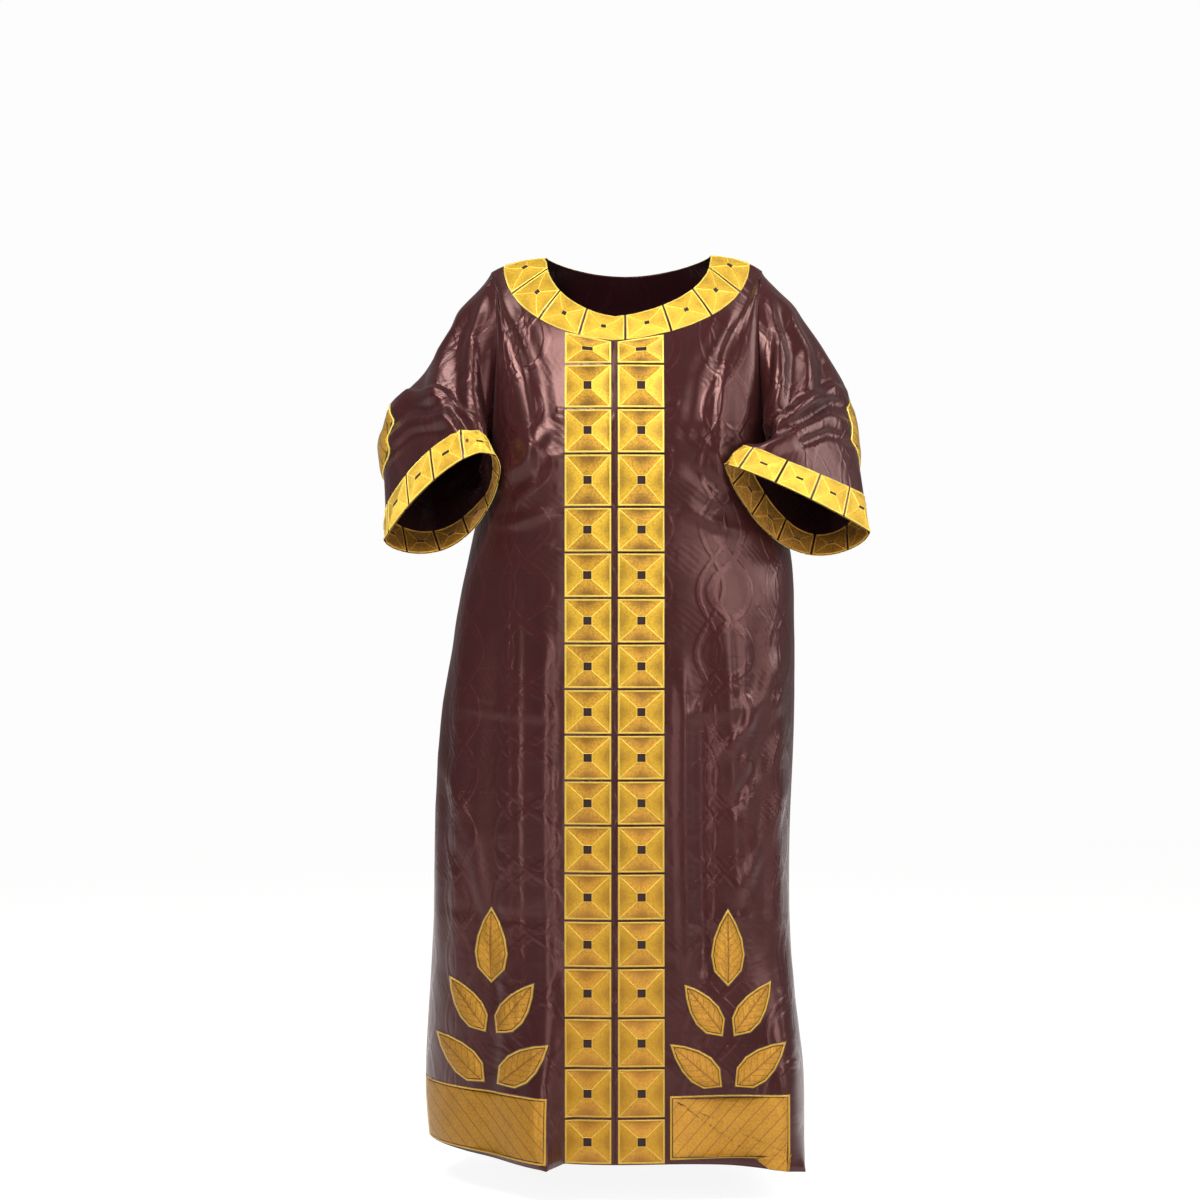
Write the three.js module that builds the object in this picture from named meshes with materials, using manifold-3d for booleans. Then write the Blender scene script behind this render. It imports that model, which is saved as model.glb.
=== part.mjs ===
// Grand boubou robe: a wide T-shaped robe of polished bazin with gold squares down the front.
// Millimetres, +Z up, the front faces -Y. The origin is the middle of the neck, level with the tops of
// the shoulders, where the wearer's shoulders hold the robe up. "Left" is the -X side.
import * as THREE from 'three';
import { mergeVertices } from 'three/addons/utils/BufferGeometryUtils.js';
import Module from 'manifold-3d';

const wasm = await Module();
wasm.setup();

// ---------------------------------------------------------------- driving dimensions
const CLOTH = 2.2; // wall of the bazin, starched and pressed
const TRIM = 1.2; // wall of a gold piece
const LIFT = 0.3; // a gold piece stands this far off the cloth
const PANEL_EASE = 0.2; // each panel stops this far short of its seam line
const SLEEVE_EASE = 0.4; // how far a sleeve stays back from it
const UNDERARM_EASE = 2; // and at the underarm, where four seams meet

const CENTRE_FRONT = -20; // the robe hangs turned a little, so the centre-front line is off the middle
const COLUMN_OUTER = 77; // outer edge of a column of squares, from the centre-front line
const COLUMN_INNER = 5; // inner edge, from the same line
const SQUARE_GAP = 3.4; // dark ground between two squares
const BAND_GAP = 3; // dark ground between the neckband and the short row
const SHORT_ROW_FOOT = -178; // foot of the short row of squares under the neckband
// Height of each row of squares with the gap under it, from the chest to the hem: cut by hand, so uneven.
const SQUARE_PITCHES = [69, 69, 81, 69, 69, 69, 69, 69, 69, 68, 72, 71, 71, 75, 75, 75, 69];

// Rows of the panel grids, counted from the neck.
const ROW_NECK = 0;
const ROW_BAND = 2; // outer edge of the neckband
const ROW_SHOULDER = 3; // shoulder point, where the armhole starts
const ROW_UNDERARM = 11; // where the armhole ends and the side seam starts
const ROW_LEVEL = 16; // from here down the rows are level
const ROW_HEM = 24;
const RING = 16; // points round a sleeve
const SLEEVE_STEPS = 2; // rings to each row of a sleeve table
const FRONT_STEPS = [0, 0.05, 0.17, 0.31, 0.45, 0.59, 0.73, 0.87, 1]; // square column to side seam
const BACK_STEPS = 14; // cells across the back

const HALF_PI = Math.PI / 2;
const lerp = (a, b, t) => a + (b - a) * t;
const clamp01 = (t) => Math.min(1, Math.max(0, t));
const smooth = (t) => clamp01(t) * clamp01(t) * (3 - 2 * clamp01(t));

// A table is read by column names, one object to each row.
const table = (columns, rows) => {
  return rows.map((row) => Object.fromEntries(columns.map((name, i) => [name, row[i]])));
};

// Value of a column at a height, between the two nearest rows of a table that runs downward.
function atHeight(rows, column, z) {
  let i = 0;
  while (i < rows.length - 2 && z < rows[i + 1].z) i += 1;
  const t = (rows[i].z - z) / (rows[i].z - rows[i + 1].z);
  return lerp(rows[i][column], rows[i + 1][column], clamp01(t));
}

// ---------------------------------------------------------------- sizes of the robe
// Shoulder seam from the neck edge to the shoulder point, and how the row dips to its middle.
const SHOULDER = table(
  ['leftX', 'leftZ', 'rightX', 'rightZ', 'frontDip', 'backZ'],
  [
    [-126, 0, 132, 4, 1.55, -20], // neck edge
    [-160, -4, 163, 0, 1.6, -40],
    [-194, -11, 194, -7, 1.65, -62], // outer edge of the neckband
    [-213, -22, 213, -20, 2.2, -98], // shoulder point
  ],
);
const NECK_FRONT_Z = -103; // lowest point of the neck edge
const BAND_WIDTH_FRONT = 38; // neckband at the centre front

// Side seams, with how full the front hangs towards each: 1 is round, less is squarer.
const SIDE = table(
  ['z', 'leftX', 'rightX', 'leftY', 'rightY', 'leftFull', 'rightFull', 'backFull'],
  [
    [-365, -226, 228, 0, 0, 0.95, 0.95, 0.9],
    [-460, -247, 264, 2, -2, 0.9, 0.85, 0.85],
    [-560, -267, 263, 4, -4, 0.85, 0.8, 0.8],
    [-690, -286, 265, 6, -6, 0.85, 0.75, 0.75],
    [-790, -294, 261, 8, -8, 0.85, 0.75, 0.75],
    [-900, -300, 255, 10, -10, 0.85, 0.75, 0.75],
    [-1060, -305, 255, 12, -12, 0.95, 0.7, 0.75],
    [-1190, -313, 266, 14, -14, 1.05, 0.65, 0.75],
    [-1290, -320, 284, 16, -16, 1.15, 0.6, 0.75],
    [-1340, -317, 278, 17, -16, 1.2, 0.6, 0.75],
    [-1400, -310, 264, 18, -16, 1.2, 0.6, 0.75],
  ],
);

// Profile down the middle of the front and of the back.
const PROFILE = table(
  ['z', 'frontY', 'backY'],
  [
    [-20, -88, 78],
    [-62, -97, 99],
    [-103, -105, 112],
    [-140, -122, 118],
    [-176, -134, 123],
    [-250, -151, 129],
    [-330, -162, 130],
    [-460, -163, 127],
    [-600, -165, 134],
    [-800, -171, 152],
    [-1000, -178, 170],
    [-1200, -186, 186],
    [-1400, -195, 198],
  ],
);

// Largest folds of the skirt. Each runs from one place to another, out from the cloth when its depth is
// more than 0, and dies out over its two widths; a fold with hem 1 grows to the hem, the others swell midway.
const FOLD_COLUMNS = ['topX', 'topZ', 'footX', 'footZ', 'leftWidth', 'rightWidth', 'depth', 'hem'];
const FRONT_FOLDS = table(FOLD_COLUMNS, [
  [-122, -1040, -115, -1400, 100, 17, 60, 1], // hangs forward beside the squares
  [238, -960, 246, -1400, 90, 26, 58, 1], // front edge of the right side
  [84, -620, 84, -1200, 26, 30, 9, 0],
  [118, -560, 122, -1240, 26, 50, -8, 0],
  [-236, -560, -246, -1300, 46, 46, -7, 0],
  [-288, -520, -296, -1200, 26, 30, 6, 0],
  [190, -480, 180, -1100, 40, 40, 6, 0],
]);
const BACK_FOLDS = table(FOLD_COLUMNS, [
  [-170, -420, -190, -1400, 60, 60, 16, 1],
  [-70, -520, -80, -1400, 60, 60, -16, 1],
  [30, -460, 40, -1400, 60, 60, 18, 1],
  [130, -520, 150, -1400, 60, 60, -14, 1],
  [226, -700, 240, -1400, 50, 40, 18, 1],
]);

// Sleeves, ring by ring from the armhole to the cuff: where the outer fold, the front, the underarm and
// the back of the ring lie. Keen is how sharply the ring turns at its fold; skew moves its back belly inward.
const RING_COLUMNS = [
  'outerX', 'outerY', 'outerZ', 'frontX', 'frontY', 'frontZ',
  'underX', 'underY', 'underZ', 'backX', 'backY', 'backZ', 'keen', 'skew',
];
const SLEEVE_LEFT = table(RING_COLUMNS, [
  [-213, 0, -22, -203, -88, -193, -226, 0, -365, -203, 88, -193, 1, 0], // armhole
  [-255, 0, -71, -212, -97, -200, -238, -10, -363, -228, 96, -215, 1, 0],
  [-294, -2, -132, -222, -105, -207, -243, -25, -360, -254, 98, -242, 1, 0],
  [-334, -6, -193, -231, -113, -215, -241, -42, -357, -280, 94, -272, 1.05, 0],
  [-370, -14, -232, -240, -120, -226, -235, -59, -354, -303, 84, -305, 1.1, 0.05],
  [-390, -30, -274, -247, -129, -240, -227, -76, -352, -320, 66, -342, 1.15, 0.1],
  [-380, -62, -335, -252, -139, -258, -218, -92, -351, -320, 20, -388, 1.2, 0.2],
  [-375, -100, -400, -255, -150, -281, -207, -107, -350, -305, -42, -434, 1.3, 0.3], // top of the band
  [-373, -127, -447, -252, -168, -325, -196, -118, -350, -290, -80, -465, 1.3, 0.4], // cuff edge
]);
const SLEEVE_RIGHT = table(RING_COLUMNS, [
  [213, 0, -20, 204, -88, -191, 228, 0, -365, 204, 88, -191, 1, 0], // armhole
  [249, 0, -55, 213, -99, -206, 238, -14, -362, 230, 96, -212, 1, 0],
  [287, -2, -101, 223, -110, -220, 240, -36, -354, 256, 98, -238, 1, 0],
  [319, -6, -151, 233, -120, -236, 234, -60, -343, 282, 94, -268, 1.05, 0],
  [346, -14, -198, 241, -131, -254, 223, -82, -330, 304, 84, -303, 1.1, 0.05],
  [356, -30, -250, 247, -141, -275, 209, -103, -315, 316, 55, -346, 1.15, 0.1],
  [360, -62, -312, 250, -152, -300, 193, -124, -303, 314, 10, -392, 1.2, 0.2],
  [367, -94, -376, 250, -165, -330, 174, -141, -300, 295, -55, -440, 1.3, 0.3], // top of the band
  [371, -124, -434, 241, -181, -369, 145, -157, -332, 279, -90, -470, 1.3, 0.4], // cuff edge
]);
const BAND_RING = 7; // the cuff band covers the sleeve from this row of its table down

// Folds of the sleeves, from ring to ring and from angle to angle (0 the outer fold, 90 the front).
const SLEEVE_FOLDS = table(
  ['fromRing', 'fromAngle', 'toRing', 'toAngle', 'width', 'depth'],
  [
    [0.3, 48, 5, 112, 24, 9],
    [1.2, 78, 5.4, 140, 22, -8],
    [3.2, 20, 6.2, 92, 22, -8],
    [4.2, 30, 6.8, 112, 20, 7],
    [2.5, 300, 6, 250, 26, -9],
  ],
);

// Hem artwork: in each lower front corner a border, and a sprig of five plain leaves on an upright line.
const BORDER_TOP = -1284;
const BORDER_FOOT = 5; // cloth left under the border
const HEM_ART = table(['side', 'fromX', 'toX', 'stemX'], [
  ['left', -330, -119, -208],
  ['right', 62, 246, 152],
]);
const LEAVES = table(['lean', 'offset', 'rise', 'length', 'halfWidth'], [
  [0, 0, 158, 122, 27],
  [36, 7, 84, 104, 23],
  [-36, -7, 84, 104, 23],
  [50, 8, 9, 108, 25],
  [-50, -8, 9, 108, 25],
]);
const LEAF_POINTS = 5; // steps along each side of a leaf
const LOZENGE = table(['side', 'x', 'z', 'halfWidth', 'halfHeight', 'lean', 'turn'], [
  ['left', -352, -300, 27, 74, 6, 34],
  ['right', 340, -284, 27, 84, -8, 34],
]);

const BAZIN = { color: 0x4a2630, roughness: 0.4, metalness: 0 };
const GOLD = { color: 0xd6a728, roughness: 0.45, metalness: 0.2 };
const INNER_GOLD = { color: 0x94641a, roughness: 0.5, metalness: 0.2 };

// ---------------------------------------------------------------- rings of the sleeves
const pointOf = (row, name) => new THREE.Vector3(row[`${name}X`], row[`${name}Y`], row[`${name}Z`]);

// Point of a ring at an angle: 0 is the outer fold, 90 the front, 180 the underarm, 270 the back.
function ringPoint(row, angle) {
  const t = THREE.MathUtils.degToRad(angle);
  const outer = pointOf(row, 'outer');
  const under = pointOf(row, 'under');
  const middle = outer.clone().add(under).multiplyScalar(0.5);
  const front = Math.sin(t) >= 0;
  const belly = pointOf(row, front ? 'front' : 'back').sub(middle);
  const swell = Math.abs(Math.sin(t)) ** row.keen * (front ? 1 : 1 - row.skew * Math.cos(t));
  return middle
    .addScaledVector(outer.sub(under), Math.cos(t) / 2)
    .addScaledVector(belly, swell);
}

// Row of a sleeve table at a fraction between two of its rows, on a smooth curve through them.
function sleeveRow(rows, place) {
  const i = Math.min(Math.floor(place), rows.length - 2);
  const t = place - i;
  const at = (k) => rows[Math.min(Math.max(k, 0), rows.length - 1)];
  const row = {};
  for (const name of RING_COLUMNS) {
    const [a, b, c, d] = [at(i - 1)[name], at(i)[name], at(i + 1)[name], at(i + 2)[name]];
    const curve = 2 * a - 5 * b + 4 * c - d + t * (3 * b - a - 3 * c + d);
    row[name] = b + 0.5 * t * (c - a + t * curve);
  }
  return row;
}

// ---------------------------------------------------------------- grids of the panels
// Left or right end of a panel row, on the shoulder seam, the armhole or the side seam.
function rowEnd(row, side, front) {
  const name = side < 0 ? 'left' : 'right';
  if (row <= ROW_SHOULDER) {
    const seam = SHOULDER[row];
    return new THREE.Vector3(seam[`${name}X`], 0, seam[`${name}Z`]);
  }
  if (row < ROW_UNDERARM) {
    const turn = (180 * (row - ROW_SHOULDER)) / (ROW_UNDERARM - ROW_SHOULDER);
    const armhole = side < 0 ? SLEEVE_LEFT[0] : SLEEVE_RIGHT[0];
    return ringPoint(armhole, front ? turn : 360 - turn);
  }
  const z = rowEndHeight(row, side);
  return new THREE.Vector3(atHeight(SIDE, `${name}X`, z), atHeight(SIDE, `${name}Y`, z), z);
}

// Below the underarm the rows run down to their level; the hem hangs lower to the right than to the left.
const LEFT_DROP = -6;
const RIGHT_DROP = 20;
function rowEndHeight(row, side) {
  const level = rowHeight(ROW_LEVEL);
  const steps = ROW_LEVEL - ROW_UNDERARM;
  const underarm = side < 0 ? SLEEVE_LEFT[0].underZ : SLEEVE_RIGHT[0].underZ;
  if (row < ROW_LEVEL) return lerp(underarm, level, (row - ROW_UNDERARM) / steps);
  const drop = side < 0 ? LEFT_DROP : RIGHT_DROP;
  return rowHeight(row) - drop * smooth((row - ROW_LEVEL) / (ROW_HEM - ROW_LEVEL));
}

// Foot of a row of squares, counted from the short row.
function squareFoot(count) {
  return SQUARE_PITCHES.slice(0, count).reduce((z, pitch) => z - pitch, SHORT_ROW_FOOT);
}

// Height of a row at the centre front: half a square to a row as far as the underarm row, then a square.
function rowHeight(row) {
  if (row < ROW_SHOULDER) return NECK_FRONT_Z - (BAND_WIDTH_FRONT * row) / ROW_BAND;
  const down = row - ROW_SHOULDER;
  if (row > ROW_UNDERARM) return squareFoot(down - (ROW_UNDERARM - ROW_SHOULDER) / 2);
  return (squareFoot(Math.floor(down / 2)) + squareFoot(Math.ceil(down / 2))) / 2;
}

function backRowHeight(row) {
  if (row <= ROW_SHOULDER) return SHOULDER[row].backZ;
  if (row >= ROW_UNDERARM) return rowHeight(row);
  const t = (row - ROW_SHOULDER) / (ROW_UNDERARM - ROW_SHOULDER);
  return lerp(SHOULDER[ROW_SHOULDER].backZ, rowHeight(ROW_UNDERARM), t);
}

// Point of a row between its middle (share 0) and one end (share 1).
function rowPoint(end, middle, share, fullness, dip) {
  const forward = Math.max(0, Math.cos(HALF_PI * share)) ** fullness;
  return new THREE.Vector3(
    lerp(middle.x, end.x, Math.sin(HALF_PI * share)),
    lerp(end.y, middle.y, forward),
    lerp(middle.z, end.z, dip),
  );
}

function frontRow(row) {
  const z = rowHeight(row);
  const middle = new THREE.Vector3(CENTRE_FRONT, atHeight(PROFILE, 'frontY', z), z);
  const points = [];
  for (const side of [-1, 1]) {
    const end = rowEnd(row, side, true);
    const full = row < ROW_UNDERARM ? 1 : atHeight(SIDE, side < 0 ? 'leftFull' : 'rightFull', end.z);
    const width = Math.abs(rowEnd(Math.max(row, ROW_BAND), side, true).x - CENTRE_FRONT);
    const column = [COLUMN_INNER, (COLUMN_INNER + COLUMN_OUTER) / 2, COLUMN_OUTER];
    const [inner, half, edge] = column.map((x) => Math.asin(x / width) / HALF_PI);
    const shares = [inner, half, ...FRONT_STEPS.map((step) => lerp(edge, 1, step))];
    const run = shares.map((share) => {
      const level = smooth((share - edge) / (1 - edge));
      const dip = row < ROW_SHOULDER ? share ** SHOULDER[row].frontDip : level;
      return rowPoint(end, middle, share, full, dip);
    });
    if (side < 0) run.reverse();
    points.push(...run);
  }
  return points;
}

function backRow(row) {
  const z = backRowHeight(row);
  const middle = new THREE.Vector3(0, atHeight(PROFILE, 'backY', z), z);
  const points = [];
  for (let i = 0; i <= BACK_STEPS; i += 1) {
    const share = 1 - (2 * i) / BACK_STEPS;
    const end = rowEnd(row, share < 0 ? -1 : 1, false);
    const full = row < ROW_UNDERARM ? 1 : atHeight(SIDE, 'backFull', end.z);
    points.push(rowPoint(end, middle, Math.abs(share), full, smooth(Math.abs(share))));
  }
  return points;
}

// Moves a point of the skirt by the folds that cross it, mostly forward on the front and back on the back.
const FOLD_LEAN = 0.3;
function foldPoint(point, folds) {
  const reach = Math.sign(point.y) * (Math.abs(point.y) + COLUMN_OUTER);
  const out = new THREE.Vector3((point.x - CENTRE_FRONT) * FOLD_LEAN, reach, 0).normalize();
  let push = 0;
  for (const fold of folds) {
    const down = (fold.topZ - point.z) / (fold.topZ - fold.footZ);
    if (down <= 0 || (down >= 1 && !fold.hem)) continue;
    const away = point.x - lerp(fold.topX, fold.footX, down);
    const across = 1 - Math.abs(away) / (away < 0 ? fold.leftWidth : fold.rightWidth);
    const along = fold.hem ? smooth(down) : Math.sin(Math.PI * down);
    push += fold.depth * smooth(across) * along;
  }
  return point.clone().addScaledVector(out, push);
}

function panelSheet(rowOf, folds) {
  const grid = [];
  for (let row = ROW_NECK; row <= ROW_HEM; row += 1) {
    const points = rowOf(row);
    const last = points.length - 1;
    grid.push(points.map((p, i) => (i === 0 || i === last ? p : foldPoint(p, folds))));
  }
  return makeSheet(grid, false, false);
}

function sleeveSheet(rows, side) {
  const grid = [];
  const steps = (rows.length - 1) * SLEEVE_STEPS;
  for (let i = 0; i <= steps; i += 1) {
    const place = i / SLEEVE_STEPS;
    const row = sleeveRow(rows, place);
    const middle = pointOf(row, 'outer').add(pointOf(row, 'under')).multiplyScalar(0.5);
    const ring = [];
    for (let k = 0; k < RING; k += 1) {
      const angle = (360 * k) / RING;
      const point = ringPoint(row, angle);
      const out = point.clone().sub(middle).normalize();
      ring.push(point.addScaledVector(out, sleeveFold(place, angle)));
    }
    grid.push(ring);
  }
  return makeSheet(grid, true, side > 0);
}

function sleeveFold(place, angle) {
  let push = 0;
  for (const fold of SLEEVE_FOLDS) {
    const along = (place - fold.fromRing) / (fold.toRing - fold.fromRing);
    if (along <= 0 || along >= 1) continue;
    const away = Math.abs(angle - lerp(fold.fromAngle, fold.toAngle, along));
    push += fold.depth * smooth(1 - away / fold.width) * Math.sin(Math.PI * along);
  }
  return push;
}

// ---------------------------------------------------------------- cloth from grids
// A sheet is a grid of points; a wrapped one joins its last column to its first. Each cell is split
// along its longer diagonal, and every piece cut from the sheet or laid on it keeps the same splits.
function makeSheet(grid, wrap, flip) {
  const across = grid[0].length;
  const splits = grid.slice(1).map((lower, v) => lower.map((p, u) => {
    const next = (u + 1) % across;
    return grid[v][u].distanceTo(lower[next]) >= p.distanceTo(grid[v][next]);
  }));
  return { grid, splits, wrap, flip };
}

// Two triangles for each cell of a sheet, as rows and columns, turned to face outside.
function trianglesOf({ grid, splits, wrap, flip }) {
  const across = grid[0].length;
  const triangles = [];
  for (let v = 0; v < grid.length - 1; v += 1) {
    for (let u = 0; u < (wrap ? across : across - 1); u += 1) {
      const [a, b] = [[v, u], [v + 1, u]];
      const [c, d] = [[v + 1, (u + 1) % across], [v, (u + 1) % across]];
      triangles.push(...(splits[v][u] ? [[a, b, c], [a, c, d]] : [[b, c, d], [b, d, a]]));
    }
  }
  return flip ? triangles.map((corners) => corners.reverse()) : triangles;
}

const keyOf = (p) => [p.x, p.y, p.z].map((c) => Math.round(c * 100)).join();

// Normals of sheets that are sewn together: points that meet in a seam share one normal.
function addNormals(sheets) {
  const sums = new Map();
  for (const sheet of sheets) {
    for (const corners of trianglesOf(sheet)) {
      const [a, b, c] = corners.map(([v, u]) => sheet.grid[v][u]);
      const face = b.clone().sub(a).cross(c.clone().sub(a));
      for (const p of [a, b, c]) {
        const key = keyOf(p);
        if (!sums.has(key)) sums.set(key, new THREE.Vector3());
        sums.get(key).add(face);
      }
    }
  }
  for (const sheet of sheets) {
    sheet.normals = sheet.grid.map((row) => row.map((p) => sums.get(keyOf(p)).clone().normalize()));
  }
}

// How far each point of a seam edge is drawn back, square to the seam and to the shared normal, so that
// sewn pieces stay clear of each other.
function easeOf(edge, inside, normals, wrap, ease) {
  const last = edge.length - 1;
  return edge.map((p, i) => {
    const before = edge[wrap ? (i + last) % (last + 1) : Math.max(i - 1, 0)];
    const after = edge[wrap ? (i + 1) % (last + 1) : Math.min(i + 1, last)];
    const away = after.clone().sub(before).cross(normals[i]).normalize();
    return away.multiplyScalar(Math.sign(away.dot(inside[i].clone().sub(p))) * ease);
  });
}

// The shoulder seam, the armhole and the side seam of a panel are drawn back one after the other.
function easeSides(sheet, ease) {
  const { grid, normals } = sheet;
  const last = grid[0].length - 1;
  const middle = Math.floor(last / 2);
  const moves = [];
  const seams = [[ROW_NECK, ROW_SHOULDER], [ROW_SHOULDER, ROW_UNDERARM], [ROW_UNDERARM, ROW_HEM]];
  for (const u of [0, last]) {
    for (const [from, to] of seams) {
      const column = (rows, at) => rows.slice(from, to + 1).map((row) => row[at]);
      const eases = easeOf(column(grid, u), column(grid, middle), column(normals, u), false, ease);
      eases.forEach((move, i) => moves.push([from + i, u, move]));
    }
  }
  for (const [v, u, move] of moves) grid[v][u] = grid[v][u].clone().add(move);
}

// The armhole edge of a sleeve is drawn back toward the middle of its cuff, most of all at the underarm,
// where four seams meet.
function easeTop(sheet, ease) {
  const { grid, normals } = sheet;
  const cuff = grid[grid.length - 1];
  const middle = cuff.reduce((sum, p) => sum.add(p), new THREE.Vector3()).divideScalar(cuff.length);
  const eases = easeOf(grid[0], grid[0].map(() => middle), normals[0], true, ease);
  eases[RING / 2] = grid[1][RING / 2].clone().sub(grid[0][RING / 2]).setLength(UNDERARM_EASE);
  grid[0] = grid[0].map((p, u) => p.clone().add(eases[u]));
}

// Part of a sheet, by rows and, on an open sheet, by columns.
function partOf(sheet, fromRow, toRow, fromColumn = 0, toColumn = Infinity) {
  const cut = (rows) => rows.slice(fromRow, toRow + 1).map((r) => r.slice(fromColumn, toColumn + 1));
  return { ...sheet, grid: cut(sheet.grid), normals: cut(sheet.normals), splits: cut(sheet.splits) };
}

// An open sheet with its four edges drawn in along its own cells.
function drawnIn(sheet, { top, bottom, left, right }) {
  const draw = (line, start, end) => {
    const moved = (i, j, far) => {
      const t = far / line[i].point.distanceTo(line[j].point);
      const point = line[i].point.clone().lerp(line[j].point, t);
      return { point, normal: line[i].normal.clone().lerp(line[j].normal, t).normalize() };
    };
    const last = line.length - 1;
    const ends = [moved(0, 1, start), moved(last, last - 1, end)];
    return [ends[0], ...line.slice(1, last), ends[1]];
  };
  const flipAxes = (rows) => rows[0].map((_, u) => rows.map((row) => row[u]));
  const pairs = sheet.grid.map((row, v) => row.map((point, u) => ({ point, normal: sheet.normals[v][u] })));
  const columns = flipAxes(pairs.map((row) => draw(row, left, right)));
  const rows = flipAxes(columns.map((column) => draw(column, top, bottom)));
  const pick = (name) => rows.map((row) => row.map((pair) => pair[name]));
  return { ...sheet, grid: pick('point'), normals: pick('normal') };
}

// Closed wall of a sheet, between two distances out from it.
function wall(sheet, inner, outer) {
  const { grid, normals, wrap, flip } = sheet;
  const across = grid[0].length;
  const size = grid.length * across;
  const positions = [];
  for (const out of [outer, inner]) {
    grid.forEach((row, v) => row.forEach((p, u) => {
      positions.push(...p.clone().addScaledVector(normals[v][u], out).toArray());
    }));
  }
  const index = [];
  const at = ([v, u]) => v * across + u;
  for (const [a, b, c] of trianglesOf(sheet)) {
    index.push(at(a), at(b), at(c));
    index.push(at(c) + size, at(b) + size, at(a) + size);
  }
  const rim = (a, b) => {
    const [from, to] = [a, b].map(([v, u]) => grid[v][u]);
    const [p, q] = [at(a), at(b)];
    const faces = from.z > to.z ? [q, p, q + size, p, p + size, q + size]
      : [q, p, p + size, q, p + size, q + size];
    index.push(...faces);
  };
  const turn = (a, b) => (flip ? rim(b, a) : rim(a, b));
  const bottom = grid.length - 1;
  for (let u = 0; u < (wrap ? across : across - 1); u += 1) {
    const next = (u + 1) % across;
    turn([0, next], [0, u]);
    turn([bottom, u], [bottom, next]);
  }
  if (!wrap) {
    for (let v = 0; v < bottom; v += 1) {
      turn([v, 0], [v + 1, 0]);
      turn([v + 1, across - 1], [v, across - 1]);
    }
  }
  return geometryOf(positions, index);
}

function geometryOf(positions, index) {
  const geometry = new THREE.BufferGeometry();
  geometry.setAttribute('position', new THREE.Float32BufferAttribute(positions, 3));
  geometry.setIndex(index);
  return geometry;
}

// ---------------------------------------------------------------- gold cut to an outline
const WELD = 1e-4; // points closer than this are one
function solidOf(geometry) {
  const bare = geometry.clone();
  bare.deleteAttribute('normal');
  bare.deleteAttribute('uv');
  const merged = mergeVertices(bare, WELD);
  const mesh = new wasm.Mesh({
    numProp: 3,
    vertProperties: new Float32Array(merged.attributes.position.array),
    triVerts: new Uint32Array(merged.index.array),
  });
  return new wasm.Manifold(mesh);
}

// The part of a skin inside an outline that is swept straight through the cloth.
function cutOut(skin, outline, place, sweep) {
  const shape = new THREE.Shape(outline.map(([x, y]) => new THREE.Vector2(x, y)));
  const prism = new THREE.ExtrudeGeometry(shape, { depth: sweep, bevelEnabled: false });
  const mesh = skin.intersect(solidOf(prism.applyMatrix4(place))).getMesh();
  return geometryOf([...mesh.vertProperties], [...mesh.triVerts]);
}

// A sleeve clear of the panels it is sewn to: where it would stand in one, it is cut back to its face.
function clearOf(geometry, panels) {
  const sleeve = solidOf(geometry);
  const met = panels.map(solidOf).filter((panel) => sleeve.intersect(panel).volume() > 0);
  if (met.length === 0) return geometry;
  const bodies = met.reduce((solid, panel) => solid.subtract(panel), sleeve).decompose();
  const mesh = bodies.sort((a, b) => b.volume() - a.volume())[0].getMesh();
  return geometryOf([...mesh.vertProperties], [...mesh.triVerts]);
}

// Places an outline drawn in x and z on a plane that faces a way turned from -Y about +Z.
function facing(turn, centre) {
  const out = new THREE.Vector3(Math.sin(turn), -Math.cos(turn), 0);
  const right = new THREE.Vector3(Math.cos(turn), Math.sin(turn), 0);
  const up = new THREE.Vector3(0, 0, 1);
  const matrix = new THREE.Matrix4().makeBasis(right, up, out);
  return matrix.setPosition(centre);
}

// Plain leaf: two arcs from the foot to the point, widest below the middle and a little blunt.
const LEAF_LOW = 0.75;
const LEAF_BLUNT = 0.85;
function leafOutline(leaf, footX, footZ) {
  const lean = THREE.MathUtils.degToRad(leaf.lean);
  const sides = [[], []];
  for (let i = 0; i <= LEAF_POINTS; i += 1) {
    const along = i / LEAF_POINTS;
    const half = leaf.halfWidth * Math.sin(Math.PI * along ** LEAF_LOW) ** LEAF_BLUNT;
    sides[0].push([half, along * leaf.length]);
    if (i > 0 && i < LEAF_POINTS) sides[1].unshift([-half, along * leaf.length]);
  }
  return [...sides[0], ...sides[1]].map(([x, z]) => [
    footX + x * Math.cos(lean) + z * Math.sin(lean),
    footZ - x * Math.sin(lean) + z * Math.cos(lean),
  ]);
}

// ---------------------------------------------------------------- the robe
const robe = new THREE.Group();
robe.name = 'grand_boubou_robe';

function addPiece(name, geometry, look) {
  const mesh = new THREE.Mesh(geometry, new THREE.MeshStandardMaterial(look));
  mesh.name = name;
  robe.add(mesh);
}

const front = panelSheet(frontRow, FRONT_FOLDS);
const back = panelSheet(backRow, BACK_FOLDS);
const sleeves = { left: sleeveSheet(SLEEVE_LEFT, -1), right: sleeveSheet(SLEEVE_RIGHT, 1) };
addNormals([front, back, sleeves.left, sleeves.right]);
easeSides(front, PANEL_EASE);
easeSides(back, PANEL_EASE);
easeTop(sleeves.left, SLEEVE_EASE);
easeTop(sleeves.right, SLEEVE_EASE);

const panels = [wall(front, -CLOTH, 0), wall(back, -CLOTH, 0)];
addPiece('front_panel', panels[0], BAZIN);
addPiece('back_panel', panels[1], BAZIN);
addPiece('neckband_front', wall(partOf(front, ROW_NECK, ROW_BAND), LIFT, LIFT + TRIM), GOLD);
addPiece('neckband_back', wall(partOf(back, ROW_NECK, ROW_BAND), LIFT, LIFT + TRIM), GOLD);

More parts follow.
